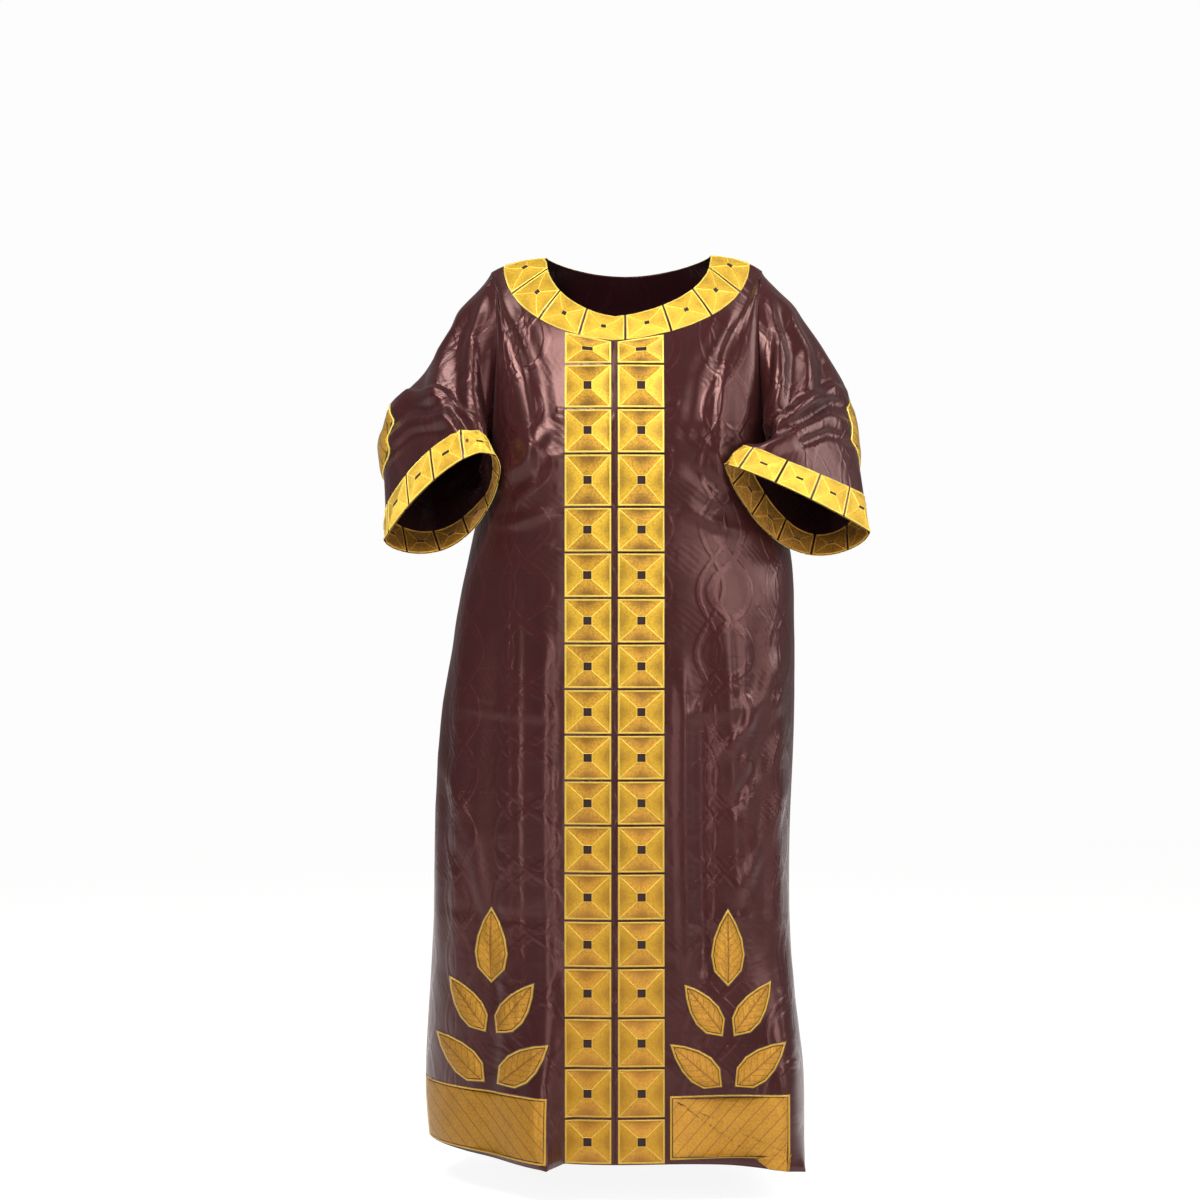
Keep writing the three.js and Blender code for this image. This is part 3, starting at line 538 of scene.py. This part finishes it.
def gold(name, light, dark, grain, rough=0.40, fall=True, metal=0.45, way="X", painted_facet_shade=0.0, veins=0.0):
    material = new_material(name)
    tree = material.node_tree
    where = add(tree, "TexCoord").outputs["Object"]
    speck = add(tree, "TexNoise", {"Scale": 330.0, "Detail": 2.0}, Vector=where)
    cloud = add(tree, "TexNoise", {"Scale": 38.0, "Detail": 3.0}, Vector=where)
    thread = add(tree, "TexWave", {"Scale": WEAVE_SCALE, "Distortion": 0.8, "bands_direction": way},
                 Vector=where)
    fine = maths(tree, "MULTIPLY", ramp(tree, speck.outputs[0], 0.42, 0.62), grain)
    broad = maths(tree, "MULTIPLY", ramp(tree, cloud.outputs[0], 0.45, 0.7), grain * 0.5)
    mask = maths(tree, "ADD", fine, broad)
    colour = mixed(tree, mask, light, dark)
    flat = add(tree, "SeparateXYZ", Vector=add(tree, "UVMap", {"uv_map": "flat"}).outputs[0]).outputs
    if painted_facet_shade:
        # painted highlight along the diagonals, and painted shade, brown, where each facet meets its cord
        u, v = from_middle(tree, flat[0]), from_middle(tree, flat[1])
        off = maths(tree, "ABSOLUTE", maths(tree, "SUBTRACT", u, v))
        far = maths(tree, "MAXIMUM", u, v)
        ragged = maths(tree, "ADD", off, maths(tree, "MULTIPLY", cloud.outputs[0], 0.22))
        shade = maths(tree, "MULTIPLY", ramp(tree, ragged, 0.14, 0.50), ramp(tree, far, 0.10, 0.42))
        colour = mixed(tree, maths(tree, "MULTIPLY", shade, painted_facet_shade), colour, FACET_PAINTED_SHADE)
    if veins:
        # painted shade: dark lines for the shade in the stitched grooves of a leaf's midrib and side veins,
        # and of the slanting quilting on a border
        side = maths(tree, "ABSOLUTE", flat[0])
        rib = ramp(tree, side, 0.0016, 0.0007)
        run = maths(tree, "SUBTRACT", flat[1], maths(tree, "MULTIPLY", side, 1.1))
        saw = from_middle(tree, maths(tree, "FRACT", maths(tree, "DIVIDE", run, veins)))
        lines = maths(tree, "MAXIMUM", rib, ramp(tree, saw, 0.065, 0.03))
        colour = mixed(tree, maths(tree, "MULTIPLY", lines, 0.85), colour, VEIN_PAINTED_SHADE)
    if fall:
        drop = ramp(tree, add(tree, "SeparateXYZ", Vector=where).outputs[2], AMBER_FROM, AMBER_TO)
        colour = mixed(tree, maths(tree, "MULTIPLY", drop, 0.5), colour, LOW_AMBER)
    height = maths(tree, "ADD", maths(tree, "MULTIPLY", speck.outputs[0], 0.6), thread.outputs[1])
    return finished(material, colour, height, 0.25 * MM, Roughness=rough, Metallic=metal,
                    Specular_IOR_Level=0.5, Sheen_Weight=0.1, Sheen_Roughness=0.4)


# the top and bottom facets' satin is the side facets' satin darkened as painted shade, so the side one is the
# lit copy
GOLD_SIDE = gold("Gold satin, side facets", "#e0b22c", "#a87d18", 0.40, painted_facet_shade=0.5)
GOLD_TOP_PAINTED_SHADE = gold("Gold satin, top and bottom facets, painted shade", "#cd9a24", "#855a14", 0.5, way="Z", painted_facet_shade=0.75)
GOLD_CORD = gold("Gold cord", "#f0d860", "#c9a12e", 0.3, rough=0.35)
GOLD_MARK = gold("Dark centre patch", "#2e0b0b", "#180505", 0.4, rough=0.85, fall=False, metal=0.0)
GOLD_BAND = gold("Gold satin of the bands", "#e0b22c", "#b08420", 0.4, painted_facet_shade=0.28)
GOLD_FIELD = gold("Gold satin of the hem", "#c4931c", "#80590f", 0.5, way="Z", veins=0.024)
GOLD_LEAF = gold("Gold satin of the leaves", "#c4931c", "#80590f", 0.5, way="Z", veins=0.013)
# painted shadow: the dark rings on both sides of the cord of the hem pieces and the lozenges
HEM_PAINTED_SHADOW = gold("Painted shadow round the gold pieces", "#2e130c", "#1c0a08", 0.3, fall=False, metal=0.0)
GOLD_FIELD_CORD = gold("Gold cord of the hem", "#e6c04c", "#b98a1e", 0.4, rough=0.38)
GOLD_INSIDE = gold("Gold satin, inner facing", "#a9741a", "#5c360c", 0.6)
GOLD_INSIDE_CORD = gold("Gold cord, inner facing", "#cf9d34", "#8f5f14", 0.4)

# %% [markdown]
# ## Cloth pieces
# Each sheet gets its cloth coordinates: across and down the panels, and along and around the sleeves.
# Then it is given a thickness that goes inward, so that its outer face stays where the solid's is.

# %% Panels and sleeves
def publish(name, bm, slot, nodes, *materials, flat_faces=False):
    mesh = bpy.data.meshes.new(name)
    bm.normal_update()
    bm.to_mesh(mesh)
    bm.free()
    for material in materials:
        mesh.materials.append(material)
    if not flat_faces:
        mesh.polygons.foreach_set("use_smooth", [True] * len(mesh.polygons))
    piece = bpy.data.objects.new(name, mesh)
    bpy.context.collection.objects.link(piece)
    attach(piece, "root")
    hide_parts(*nodes)
    return piece


def thicken(piece):
    solid = piece.modifiers.new("thickness", "SOLIDIFY")
    solid.thickness = CLOTH
    solid.offset = -1
    solid.material_offset = 1
    solid.use_even_offset = False


def panel_uv(bm, middle_y):
    """Across and down a panel; where it turns back at the sides, its depth adds to its width."""
    layer = bm.loops.layers.uv.new("cloth")
    for face in bm.faces:
        for loop in face.loops:
            p = loop.vert.co
            loop[layer].uv = (p.x + math.copysign(abs(p.y - middle_y) * 0.7, p.x - MIDDLE_X), p.z)


SLEEVE_RADIUS = 0.1


def sleeve_uv(bm, side):
    """Round a sleeve and along it, from the middle of its armhole to the middle of its cuff."""
    layer = bm.loops.layers.uv.new("cloth")
    way = -1 if side == "left" else 1
    start, end = Vector((way * 0.208, 0, -0.19)), Vector((way * 0.285, -0.12, -0.40))
    along = (end - start).normalized()
    up = along.cross(Vector((0, 1, 0))).normalized()
    out = along.cross(up)
    for face in bm.faces:
        middle = face.calc_center_median() - start
        home = math.atan2(middle.dot(up), middle.dot(out))
        for loop in face.loops:
            p = loop.vert.co - start
            turn = math.atan2(p.dot(up), p.dot(out))
            turn += 2 * math.pi * round((home - turn) / (2 * math.pi))
            loop[layer].uv = (turn * SLEEVE_RADIUS, p.dot(along))


def surface(bm):
    return BVHTree.FromBMesh(bm)


tops = {"front": surface(front), "back": surface(back), **{k: surface(v) for k, v in sleeves.items()}}
for key, sheet in (("front", front), ("back", back), *sleeves.items()):
    print(key, "pressed area m2", round(sum(face.calc_area() for face in sheet.faces), 3))
panel_uv(front, -0.125)
panel_uv(back, 0.1)
body_front = publish("front_cloth", front, "bazin", ["front_panel"], BAZIN, BAZIN_INSIDE)
body_back = publish("back_cloth", back, "bazin", ["back_panel"], BAZIN, BAZIN_INSIDE)
sleeve_cloth = {}
for side, sheet in sleeves.items():
    sleeve_uv(sheet, side)
    sleeve_cloth[side] = publish(f"sleeve_cloth_{side}", sheet, "bazin", [f"sleeve_{side}"],
                                 BAZIN, BAZIN_INSIDE)
for piece in (body_front, body_back, *sleeve_cloth.values()):
    thicken(piece)

# %% [markdown]
# ## Gold squares
# A square is made in its own flat size: a raised cord round the edge, four facets rising to the middle,
# a thin bright fold along each diagonal and a dark patch let in at the centre. Then it is laid on the
# cloth and follows its creases.

# %% Square
SIDE, TOP, CORD, MARK = range(4)  # material slots of a square
CORD_RINGS = [(0, 0.12, 0.7), (0.3, 0, 0.7), (0.32, 0, -0.1), (0.26, 0, -0.8)]  # share of cord, mm, rise
SHORT = 55 * MM  # a square shorter than this has a flat, wide patch


def square(width, length, tall, cord, patch):
    """Flat square of gold work; tall, cord and patch are in millimetres."""
    bm = bmesh.new()
    bmesh.ops.create_grid(bm, x_segments=1, y_segments=1, size=0.5)
    bmesh.ops.scale(bm, vec=(width, length, 1), verts=bm.verts)
    bmesh.ops.translate(bm, vec=(width / 2, length / 2, 0), verts=bm.verts)
    bm.faces.ensure_lookup_table()
    inner = bm.faces[0]

    def ring(step, rise, index):
        made = bmesh.ops.inset_region(bm, faces=[inner], thickness=step * MM, depth=0, use_boundary=True,
                                      use_even_offset=True)
        bmesh.ops.translate(bm, vec=(0, 0, rise * MM), verts=inner.verts)
        for face in made["faces"]:
            face.material_index = index
        return made["faces"]

    for share, step, rise in CORD_RINGS:
        ring(share * cord + step, rise, CORD)
    side = min(width, length) / 2 / MM - cord - 0.12 - patch / 2
    facets = set(ring(side, tall, SIDE))
    for face in facets:
        middle = face.calc_center_median() - Vector((width / 2, length / 2, 0))
        face.material_index = SIDE if abs(middle.x) * length > abs(middle.y) * width else TOP
    middle = inner.calc_center_median()
    wide, deep = (1.0, 1.0) if length > SHORT else (1.5, 0.6)
    reach = patch / 2 * MM
    for vert in inner.verts:
        off = vert.co - middle
        vert.co.x = middle.x + math.copysign(min(abs(off.x), reach * wide), off.x)
        vert.co.y = middle.y + math.copysign(min(abs(off.y), reach * deep), off.y)
    ring(0.8, 0.4, CORD)
    ring(0.4, -0.8, MARK)
    inner.material_index = MARK
    diagonals = [e for e in bm.edges if len([f for f in e.link_faces if f in facets]) == 2]
    folds = bmesh.ops.bevel(bm, geom=diagonals, affect="EDGES", offset=0.75 * MM, offset_type="OFFSET",
                            segments=2, profile=0.5, material=CORD)
    folded = set(folds["faces"])
    crest = [v for v in folds["verts"] if all(f in folded or f.material_index == CORD for f in v.link_faces)]
    bmesh.ops.translate(bm, vec=(0, 0, 0.35 * MM), verts=[v for v in crest if len(v.link_faces) > 2])
    bmesh.ops.subdivide_edges(bm, edges=[e for e in bm.edges if e.calc_length() > 7 * MM], cuts=3,
                              use_grid_fill=True)
    return bm


def lay(bm, width, length, place):
    """Carries a flat piece onto the cloth: place gives the point and the normal of a share (u, v)."""
    layer = bm.loops.layers.uv.new("flat")
    for face in bm.faces:
        for loop in face.loops:
            loop[layer].uv = (loop.vert.co.x / width, loop.vert.co.y / length)
    for vert in bm.verts:
        point, normal = place(vert.co.x / width, vert.co.y / length)
        vert.co = point + normal * (LIFT + vert.co.z)
    return bm


def on_front(x, z):
    hit, normal, _, _ = tops["front"].ray_cast(Vector((x, -1, z)), Vector((0, 1, 0)))
    if hit is None:
        hit, normal, _, _ = tops["front"].find_nearest(Vector((x, -0.15, z)))
    return hit, normal


def corner_heights(node, low, high):
    """Foot and top of a square at its left and right edges."""
    co = [v.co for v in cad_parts[node].data.vertices]
    edges = []
    for x in (low.x, high.x):
        zs = [p.z for p in co if abs(p.x - x) < 2.5 * MM]
        edges.append((min(zs), max(zs)))
    return edges


gold_pieces = []
for side in ("left", "right"):
    for row in range(1, 19):
        node = f"square_{side}_{row}"
        low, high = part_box(node)
        (foot_a, top_a), (foot_b, top_b) = corner_heights(node, low, high)
        width, length = high.x - low.x, (top_a - foot_a + top_b - foot_b) / 2

        def place(u, v):
            foot = foot_a + (foot_b - foot_a) * u
            top = top_a + (top_b - top_a) * u
            return on_front(low.x + width * u, foot + (top - foot) * v)

        bm = square(width, length, tall=random.uniform(4.0, 5.4), cord=3.0, patch=14 if row > 1 else 12)
        piece = publish(node + "_gold", lay(bm, width, length, place), "gold", [node],
                        GOLD_SIDE, GOLD_TOP_PAINTED_SHADE, GOLD_CORD, GOLD_MARK, flat_faces=True)
        gold_pieces.append(piece)
print("squares", len(gold_pieces), "triangles each", sum(len(p.vertices) - 2 for p in piece.data.polygons))

# %% [markdown]
# ## Neckband and cuffs
# A band is a row of the same squares, sewn round an edge of the cloth. Its two edges are read from the
# solid's outline, and each square is laid between them, so it narrows and turns as the band does.

# %% Bands
def outlines(bm):
    """Outlines of a sheet, each as an ordered run of vertices."""
    edges = {e for e in bm.edges if e.is_boundary}
    runs = []
    while edges:
        edge = min(edges, key=lambda e: e.index)
        edges.discard(edge)
        run = [edge.verts[0], edge.verts[1]]
        while True:
            ahead = [e for e in run[-1].link_edges if e in edges]
            if not ahead:
                break
            edges.discard(ahead[0])
            run.append(ahead[0].other_vert(run[-1]))
        runs.append(run[:-1])
    return runs


def along(points, share, closed):
    """Point of a run at a share of its length."""
    line = points + [points[0]] if closed else points
    lengths = [(b - a).length for a, b in zip(line[:-1], line[1:])]
    left = (share % 1.0 if closed else min(max(share, 0), 1)) * sum(lengths)
    for a, b, length in zip(line[:-1], line[1:], lengths):
        if left <= length:
            return a.lerp(b, left / max(length, 1e-9))
        left -= length
    return line[-1].copy()


def on_cloth(tree, point, flip=1):
    hit, normal, _, _ = tree.find_nearest(point)
    return hit + (normal * -CLOTH if flip < 0 else Vector()), normal * flip


CELL_GAP = 3.2 * MM  # dark ground between two squares of a band


def band(name, node, tree, upper, lower, cells, closed, looks, slot="gold", flip=1, tall=2.0, offset=0.0):
    """A row of squares between two edges; flip -1 lays it on the inner side of the cloth."""
    whole = bmesh.new()
    pairs = list(zip(upper, lower))[::3]
    deep = sum((a - b).length for a, b in pairs) / len(pairs)
    round_length = sum((b - a).length for a, b in zip(upper[:-1], upper[1:]))
    for k in range(cells):
        wide = round_length / cells - CELL_GAP
        cell = square(wide, deep, tall, cord=2.6, patch=9)

        def place(u, v):
            share = (k + 0.5 + (u - 0.5) * (1 - CELL_GAP * cells / round_length)) / cells + offset
            a, b = along(lower, share, closed), along(upper, share, closed)
            return on_cloth(tree, a.lerp(b, v), flip)

        lay(cell, wide, deep, place)
        mesh = bpy.data.meshes.new("cell")
        cell.to_mesh(mesh)
        cell.free()
        whole.from_mesh(mesh)
        bpy.data.meshes.remove(mesh)
    if flip < 0:
        bmesh.ops.reverse_faces(whole, faces=whole.faces)
    return publish(name, whole, slot, [node], *looks, flat_faces=True)


NECK_SECTOR = 0.12  # radians to each side in which a point's two edges are compared


def strip_edges(node):
    """Neck edge and outer edge of a neckband, from the left shoulder to the right one."""
    bm = outer_sheet(node, TRIM, axis=(0, 0))
    run = outlines(bm)[0]
    points = [v.co.copy() for v in run]
    bm.free()

    def turn(p):
        return math.atan2(abs(p.y), p.x)

    inner, outer = [], []
    for p in points:
        near = [math.hypot(q.x, q.y) for q in points if abs(turn(q) - turn(p)) < NECK_SECTOR]
        middle = (min(near) + max(near)) / 2
        (outer if math.hypot(p.x, p.y) > middle else inner).append(p)
    return [sorted(edge, key=lambda p: -turn(p)) for edge in (inner, outer)]


SQUARE_LOOKS = (GOLD_BAND, GOLD_BAND, GOLD_CORD, GOLD_MARK)
for where, tree, turned in (("front", tops["front"], False), ("back", tops["back"], True)):
    inner, outer = strip_edges(f"neckband_{where}")
    if turned:
        inner, outer = inner[::-1], outer[::-1]
    piece = band(f"neckband_{where}_gold", f"neckband_{where}", tree, inner, outer, 8, False, SQUARE_LOOKS)
    gold_pieces.append(piece)


def cuff_edges(side):
    """Upper and lower edge of a cuff band, started beside each other and run the same way round."""
    bm = outer_sheet(f"cuff_band_{side}", TRIM)
    runs = [[v.co.copy() for v in run] for run in outlines(bm)]
    bm.free()
    runs = sorted(runs, key=len)[-2:]
    upper, lower = sorted(runs, key=lambda run: -sum(p.z - p.y for p in run) / len(run))
    start = min(range(len(lower)), key=lambda i: (lower[i] - upper[0]).length)
    lower = lower[start:] + lower[:start]
    if (lower[1] - upper[1]).length > (lower[-1] - upper[1]).length:
        lower = [lower[0]] + lower[1:][::-1]
    return upper, lower


INNER_LOOKS = (GOLD_INSIDE, GOLD_INSIDE, GOLD_INSIDE_CORD, GOLD_MARK)
for side in ("left", "right"):
    upper, lower = cuff_edges(side)
    centre = sum(upper, Vector()) / len(upper)
    turn = (upper[1] - upper[0]).cross(upper[0] - centre).dot(upper[0] - lower[0])
    if turn < 0:
        upper, lower = [upper[0]] + upper[1:][::-1], [lower[0]] + lower[1:][::-1]
    piece = band(f"cuff_band_{side}_gold", f"cuff_band_{side}", tops[side], upper, lower, 10, True,
                 SQUARE_LOOKS)
    inner = band(f"cuff_facing_{side}_gold", f"cuff_facing_{side}", tops[side], upper, lower, 10, True,
                 INNER_LOOKS, slot="gold_facing", flip=-1, tall=0.8, offset=0.02)
    gold_pieces += [piece, inner]

# %% [markdown]
# ## Leaves, borders and lozenges
# Each is cut to its outline and edged with a cord; inside the cord the satin is padded a little, with a
# vein pressed along a leaf. The outline is the edge of the solid, seen straight from the front of it.
# Where the cloth ends short of the outline, the piece is drawn in to the edge of the cloth.

# %% Cut-out pieces
FIELD, EDGE_CORD, PAINTED_SHADOW_RING = range(3)  # material slots of a cut-out
RAY_FROM = 0.6  # rays start this far out
SLACK = 0.25 * MM  # how far an outline may stray from its straight runs


def simple_outline(points, slack):
    """Keeps the corners of a closed outline and drops the points that lie on its straight runs."""
    def thin(run):
        if len(run) < 3:
            return run[:1]
        a, b = run[0], run[-1]
        way = (b - a).normalized()
        offs = [(p - a).cross(way).length for p in run]
        far = max(range(len(run)), key=lambda i: offs[i])
        if offs[far] < slack:
            return run[:1]
        return thin(run[:far + 1]) + thin(run[far:])

    start = max(range(len(points)), key=lambda i: points[i].length)
    loop = points[start:] + points[:start]
    half = max(range(len(loop)), key=lambda i: (loop[i] - loop[0]).length)
    kept = thin(loop[:half + 1]) + thin(loop[half:] + loop[:1])
    return [p for i, p in enumerate(kept) if (p - kept[i - 1]).length > 2 * MM]


def halve_long(bm, limit, test):
    """Halves the edges longer than a limit whose faces all pass the test; says if there were any."""
    edges = [e for e in bm.edges if e.calc_length() > limit and all(test(f) for f in e.link_faces)]
    bmesh.ops.subdivide_edges(bm, edges=edges, cuts=1)
    return bool(edges)


def is_field(face):
    return face.material_index == FIELD


def cut_out(name, node, tree, plane, looks, rise=3.2, cord=2.8, vein=None):
    """A padded, corded piece cut to the outline of its solid; vein is the foot and the way of a midrib."""
    right, up, out = plane
    sheet = outer_sheet(node, TRIM, axis=(0, 0) if abs(out.y) > 0.99 else None)
    run = max(outlines(sheet), key=len)
    flat = [Vector((v.co.dot(right), v.co.dot(up), 0)) for v in run]
    sheet.free()
    kept = simple_outline(flat, SLACK)
    bm = bmesh.new()
    face = bm.faces.new([bm.verts.new(p) for p in kept])
    bm.normal_update()
    if face.normal.z < 0:
        face.normal_flip()
    edge_tree = tree_of([kept[i - 1].lerp(p, t) for i, p in enumerate(kept) for t in np.arange(0, 1, 0.1)])
    # the two dark rings are painted shadow, one in the gap outside the cord and one in the groove inside it
    rings = [
        (PAINTED_SHADOW_RING, 1.5, 0.1),
        (EDGE_CORD, 0.12, 0.7),
        (EDGE_CORD, 0.35 * cord, 0.6),
        (EDGE_CORD, 0.35 * cord, -0.1),
        (EDGE_CORD, 0.3 * cord, -0.7),
        (PAINTED_SHADOW_RING, 1.1, -0.3),
        (FIELD, 1.5, 0.5),
    ]
    for index, step, lift in rings:
        made = bmesh.ops.inset_region(bm, faces=[face], thickness=step * MM, depth=0, use_boundary=True,
                                      use_even_offset=True)
        bmesh.ops.translate(bm, vec=(0, 0, lift * MM), verts=face.verts)
        for ring_face in made["faces"]:
            ring_face.material_index = index
    base = face.verts[0].co.z
    bmesh.ops.triangulate(bm, faces=[face])
    for _ in range(5):
        if not halve_long(bm, 6 * MM, is_field):
            break
        bmesh.ops.triangulate(bm, faces=[f for f in bm.faces if is_field(f)])
    for _ in range(4):
        halve_long(bm, 9 * MM, lambda f: not is_field(f))
    for vert in bm.verts:
        if all(is_field(f) for f in vert.link_faces):
            away = edge_tree.find(vert.co)[2] / MM - cord
            vert.co.z = base + rise * MM * (1 - math.exp(-max(away, 0) / 6))
            if vein:
                foot, way = vein
                off = Vector((vert.co.x, vert.co.y, 0)) - foot
                side = abs(off.cross(way).z) / MM
                vert.co.z -= 1.3 * MM * max(0, 1 - side / 3.5)
                vert.co.z += 0.5 * MM * math.sin((off.dot(way) / MM - side * 0.8) * math.tau / 9)
    layer = bm.loops.layers.uv.new("flat")
    for loop in (loop for face in bm.faces for loop in face.loops):
        foot, way = vein or (Vector(), Vector((0, 1, 0)))
        off = Vector((loop.vert.co.x, loop.vert.co.y, 0)) - foot
        loop[layer].uv = (off.cross(way).z, off.dot(way))
    centre = sum((right * p.x + up * p.y for p in kept), Vector()) / len(kept)
    for vert in bm.verts:
        point = right * vert.co.x + up * vert.co.y
        hit, normal, _, _ = tree.ray_cast(point + out * RAY_FROM, -out)
        while hit is None:
            point += (centre - point).normalized() * MM
            hit, normal, _, _ = tree.ray_cast(point + out * RAY_FROM, -out)
        vert.co = hit + normal * (LIFT + vert.co.z)
    bmesh.ops.remove_doubles(bm, verts=bm.verts, dist=0.01 * MM)
    gold_pieces.append(publish(name, bm, "gold", [node], *looks))


FACING_FRONT = (Vector((1, 0, 0)), Vector((0, 0, 1)), Vector((0, -1, 0)))
HEM_LOOKS = (GOLD_FIELD, GOLD_FIELD_CORD, HEM_PAINTED_SHADOW)
for side in ("left", "right"):
    cut_out(f"hem_border_{side}_gold", f"hem_border_{side}", tops["front"], FACING_FRONT, HEM_LOOKS, rise=2.0)
    low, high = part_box(f"hem_leaf_{side}_1")
    stem_x = (low.x + high.x) / 2
    for k in range(1, 6):
        low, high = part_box(f"hem_leaf_{side}_{k}")
        middle = Vector(((low.x + high.x) / 2, (low.z + high.z) / 2, 0))
        lean = middle.x - stem_x
        foot = Vector((middle.x if abs(lean) < 0.01 else (low.x if lean > 0 else high.x), low.z, 0))
        way = (middle - foot).normalized()
        cut_out(f"hem_leaf_{side}_{k}_gold", f"hem_leaf_{side}_{k}", tops["front"], FACING_FRONT,
                (GOLD_LEAF, GOLD_FIELD_CORD, HEM_PAINTED_SHADOW), vein=(foot, way))
for side in ("left", "right"):
    low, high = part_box(f"sleeve_lozenge_{side}")
    centre = (low + high) / 2
    hit, normal, _, _ = tops[side].find_nearest(centre)
    out = Vector((normal.x, normal.y, 0)).normalized()
    right = Vector((-out.y, out.x, 0))
    cut_out(f"sleeve_lozenge_{side}_gold", f"sleeve_lozenge_{side}", tops[side],
            (right, Vector((0, 0, 1)), out), (GOLD_FIELD, GOLD_CORD, HEM_PAINTED_SHADOW), rise=4.0)

# %% [markdown]

# %% [markdown]
# ## Studio
# A pale, softly glowing floor under a white surround. The key is near, in front and above on the left, so
# the chest is brighter than the hem. A tall strip beside the skirt draws its pressed folds, a fill and an
# edge light stand on the right, and a soft light hangs over the shoulders.

# %% Light and camera
FLOOR_Z = low_before.z - 45 * MM
SURROUND_LIGHT = 0.20  # what the surround gives to the cloth
SURROUND_SEEN = 0.78  # what it shows to the camera on top of that
bm = bmesh.new()
bmesh.ops.create_grid(bm, x_segments=1, y_segments=1, size=6)
bmesh.ops.translate(bm, vec=(0, 0, FLOOR_Z), verts=bm.verts)
mesh = bpy.data.meshes.new("floor")
bm.to_mesh(mesh)
bm.free()
floor = bpy.data.objects.new("floor", mesh)
bpy.context.collection.objects.link(floor)
floor.data.materials.append(finished(new_material("Pale studio floor"), "#8c8b89", Roughness=0.9,
                                     Specular_IOR_Level=0.1, Emission_Color=linear("#ffffff"),
                                     Emission_Strength=0.90))

world = bpy.data.worlds.new("studio")
bpy.context.scene.world = world
world.use_nodes = True
world.node_tree.nodes["Background"].inputs[0].default_value = (1, 1, 1, 1)
seen = add(world.node_tree, "LightPath").outputs["Is Camera Ray"]
shown = maths(world.node_tree, "MULTIPLY", seen, SURROUND_SEEN)
strength = maths(world.node_tree, "ADD", shown, SURROUND_LIGHT)
world.node_tree.links.new(strength, world.node_tree.nodes["Background"].inputs[1])


def softbox(name, place, aim, size, watts):
    light = bpy.data.lights.new(name, "AREA")
    light.shape = "RECTANGLE"
    light.size, light.size_y = size
    light.energy = watts
    lamp = bpy.data.objects.new(name, light)
    lamp.location = place
    lamp.rotation_euler = (Vector(aim) - Vector(place)).to_track_quat("-Z", "Y").to_euler()
    bpy.context.collection.objects.link(lamp)


softbox("key", (-1.0, -2.0, 1.15), (0, 0, -0.35), (0.7, 0.9), 66)
softbox("fill", (2.4, -2.2, 0.2), (0, 0, -0.7), (0.5, 1.8), 30)
softbox("rim", (2.4, -0.4, 0.6), (0, 0, -0.8), (0.5, 2.0), 45)
softbox("skirt", (-0.95, -2.6, -0.55), (0, 0, -0.95), (0.16, 1.3), 13)
softbox("top", (-0.3, -0.8, 2.2), (0, 0, -0.3), (1.2, 0.8), 40)

lens = bpy.data.cameras.new("camera")
lens.lens = 80
lens.sensor_width = 36
camera = bpy.data.objects.new("camera", lens)
camera.location = (-0.042, -4.2, -0.538)
camera.rotation_euler = (math.pi / 2, 0, 0)
bpy.context.collection.objects.link(camera)
bpy.context.scene.camera = camera
bpy.context.scene.view_settings.view_transform = "Standard"
